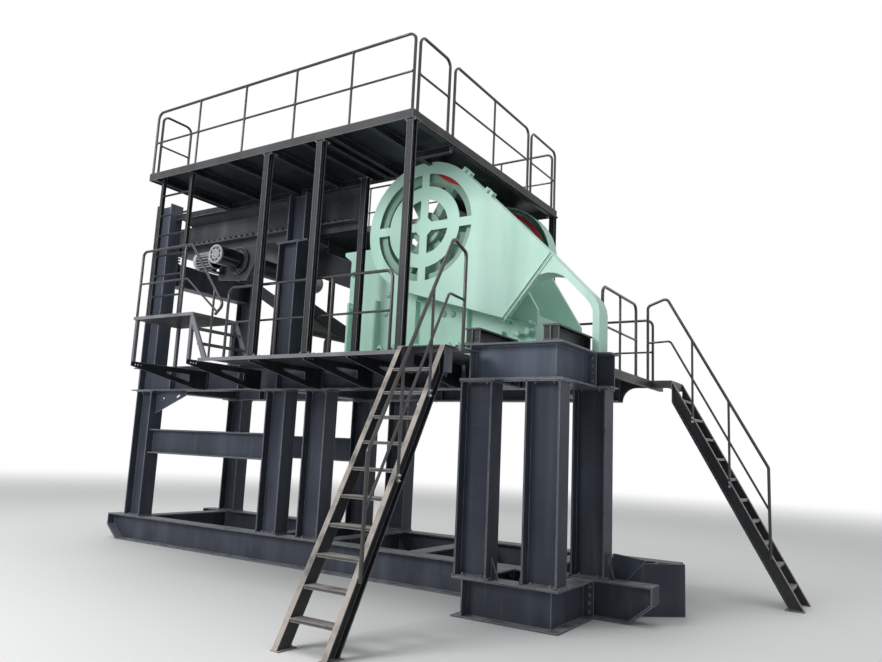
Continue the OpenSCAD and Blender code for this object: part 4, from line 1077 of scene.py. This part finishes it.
@dataclass
class Rotor:
    """Rim bands and hub caps of both flywheels."""

    shaft: tuple[float, float] = (1.76, 5.15)
    wheel_y0: float = 0.97
    wheel_y1: float = 1.23
    wheel_r: float = 0.90
    band: float = 0.06
    mark: tuple[float, float] = (33.0, 88.0)
    mark_w: float = 0.14

    def bands(self, finishes: Finishes) -> None:
        """A red band on the inner face of each rim, and a red mark on its outer face."""
        mesh = Mesh("rim_bands")
        x, z = self.shaft
        inner, outer = self.wheel_r - self.band, self.wheel_r + 0.003
        hoop = [(inner, -0.002), (inner, 0.004), (outer, 0.004), (outer, -0.045), (outer - 0.007, -0.045),
                (outer - 0.007, -0.002)]
        for s in BOTH_SIDES:
            mesh.turned((x, s * self.wheel_y0, z), (0, -s, 0), hoop, 96, False, True)
            face = (x, s * (self.wheel_y1 - 0.002), z)
            mesh.crescent(face, self.wheel_r, self.mark_w, self.mark, s * 0.006)
        mesh.piece(finishes.get(finishes.red), Body.ROTOR)

    def hub_caps(self, finishes: Finishes) -> None:
        """Bolted caps on the shaft's ends, and rings round the hubs."""
        mesh = Mesh("hub_caps")
        x, z = self.shaft
        for s in BOTH_SIDES:
            face = (x, s * self.wheel_y1, z)
            mesh.turned(face, (0, s, 0), [(0.150, 0.0), (0.150, 0.012), (0.143, 0.016), (0.04, 0.016)], 48)
            for k in range(6):
                a = 2 * math.pi * k / 6
                spot = (x + 0.10 * math.cos(a), s * (self.wheel_y1 + 0.016), z + 0.10 * math.sin(a))
                mesh.bolt(spot, (0, s, 0), 0.032)
            mesh.turned(face, (0, s, 0), [(0.232, -0.002), (0.232, 0.004), (0.240, 0.004), (0.244, -0.002)], 64,
                        hollow=True)
        mesh.piece(finishes.get(finishes.mint_painted_shade), Body.ROTOR)

    def build(self, finishes: Finishes) -> None:
        """Makes every piece of the sub-assembly."""
        self.bands(finishes)
        self.hub_caps(finishes)


@dataclass
class Studio:
    """Floor, light, background and camera."""

    eye: tuple[float, float, float] = (7.7737, -10.0388, 1.8977)
    yaw: float = -0.5719
    pitch: float = 0.1591
    roll: float = 0.0458
    focal_px: float = 740.15
    frame_px: float = 882.0

    def camera(self) -> None:
        """The camera at the photograph's angle."""
        data = bpy.data.cameras.new("photo_camera")
        data.sensor_width = 36.0
        data.lens = self.focal_px / self.frame_px * data.sensor_width
        data.clip_start, data.clip_end = 0.1, 200.0
        made = bpy.data.objects.new("photo_camera", data)
        bpy.context.scene.collection.objects.link(made)
        way = Vector((math.sin(self.yaw) * math.cos(self.pitch), math.cos(self.yaw) * math.cos(self.pitch),
                      math.sin(self.pitch)))
        flat = Vector((math.cos(self.yaw), -math.sin(self.yaw), 0.0))
        high = flat.cross(way)
        right = flat * math.cos(self.roll) + high * math.sin(self.roll)
        up = high * math.cos(self.roll) - flat * math.sin(self.roll)
        turn = Matrix((right, up, -way)).transposed().to_4x4()
        made.matrix_world = Matrix.Translation(self.eye) @ turn
        bpy.context.scene.camera = made

    def lamp(self, name: str, at: Point, size: float, power: float, target: Point = (0, 0, 3)) -> None:
        """One square soft lamp.

        Args:
            name: Its name.
            at: Its place.
            size: Length of its side.
            power: Its power in watts.
            target: The point that it faces.
        """
        data = bpy.data.lights.new(name, "AREA")
        data.shape, data.size, data.energy = "SQUARE", size, power
        made = bpy.data.objects.new(name, data)
        bpy.context.scene.collection.objects.link(made)
        way = Vector(target) - Vector(at)
        made.matrix_world = Matrix.Translation(at) @ way.to_track_quat("-Z", "Y").to_matrix().to_4x4()

    def world(self) -> None:
        """Soft light from all round, with a white background for the camera and for gloss."""
        world = bpy.data.worlds.new("studio")
        world.use_nodes = True
        nodes, links = world.node_tree.nodes, world.node_tree.links
        nodes.clear()
        path = nodes.new("ShaderNodeLightPath")
        seen = path.outputs["Is Camera Ray"]
        for ray in ("Is Glossy Ray", "Is Transmission Ray"):
            either = nodes.new("ShaderNodeMath")
            either.operation = "MAXIMUM"
            links.new(seen, either.inputs[0])
            links.new(path.outputs[ray], either.inputs[1])
            seen = either.outputs[0]
        soft, white = nodes.new("ShaderNodeBackground"), nodes.new("ShaderNodeBackground")
        soft.inputs[0].default_value, soft.inputs[1].default_value = (0.93, 0.97, 1.0, 1.0), 0.36
        white.inputs[0].default_value = (1.0, 1.0, 1.0, 1.0)
        mix, out = nodes.new("ShaderNodeMixShader"), nodes.new("ShaderNodeOutputWorld")
        links.new(seen, mix.inputs[0])
        links.new(soft.outputs[0], mix.inputs[1])
        links.new(white.outputs[0], mix.inputs[2])
        links.new(mix.outputs[0], out.inputs[0])
        bpy.context.scene.world = world

    def floor(self) -> None:
        """A pale floor that fades to white far away."""
        mesh = bpy.data.meshes.new("floor")
        reach = 60.0
        mesh.from_pydata([(-reach, -reach, 0), (reach, -reach, 0), (reach, reach, 0), (-reach, reach, 0)], [],
                         [(0, 1, 2, 3)])
        made = bpy.data.objects.new("floor", mesh)
        bpy.context.scene.collection.objects.link(made)
        g = ShaderGraph("studio_floor")
        place = g.place()
        far = g.node("ShaderNodeVectorMath", {"operation": "LENGTH"}, {0: place}, "Value").ramp(12.0, 34.0)
        matt = g.node("ShaderNodeBsdfPrincipled", None, {"Base Color": (0.80, 0.80, 0.79, 1.0), "Roughness": 0.7})
        glow = g.node("ShaderNodeEmission", None, {"Color": (1.0, 1.0, 1.0, 1.0), "Strength": 1.0})
        both = g.node("ShaderNodeMixShader", None, {0: far, 1: matt, 2: glow})
        g.node("ShaderNodeOutputMaterial", None, {"Surface": both})
        mesh.materials.append(g.material)

    def build(self) -> None:
        """Sets the whole studio up."""
        self.camera()
        self.world()
        self.floor()
        self.lamp("key", (-3.0, -16.0, 9.5), 6.0, 1450.0)
        self.lamp("top", (-1.0, -1.0, 16.0), 12.0, 1350.0)
        bpy.context.scene.view_settings.view_transform = "Standard"


def main() -> None:
    """Builds the station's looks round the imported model."""
    logging.basicConfig(level=logging.INFO, format="%(name)s %(message)s")
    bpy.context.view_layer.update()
    finishes = Finishes()
    finishes.dress(frame["nodes"])
    for assembly in (SteelFrame(), Walkways(), Stairs(), Feeder(), Crusher(), Guards(), Rotor()):
        assembly.build(finishes)
    Studio().build()


if __name__ == "__main__":
    main()
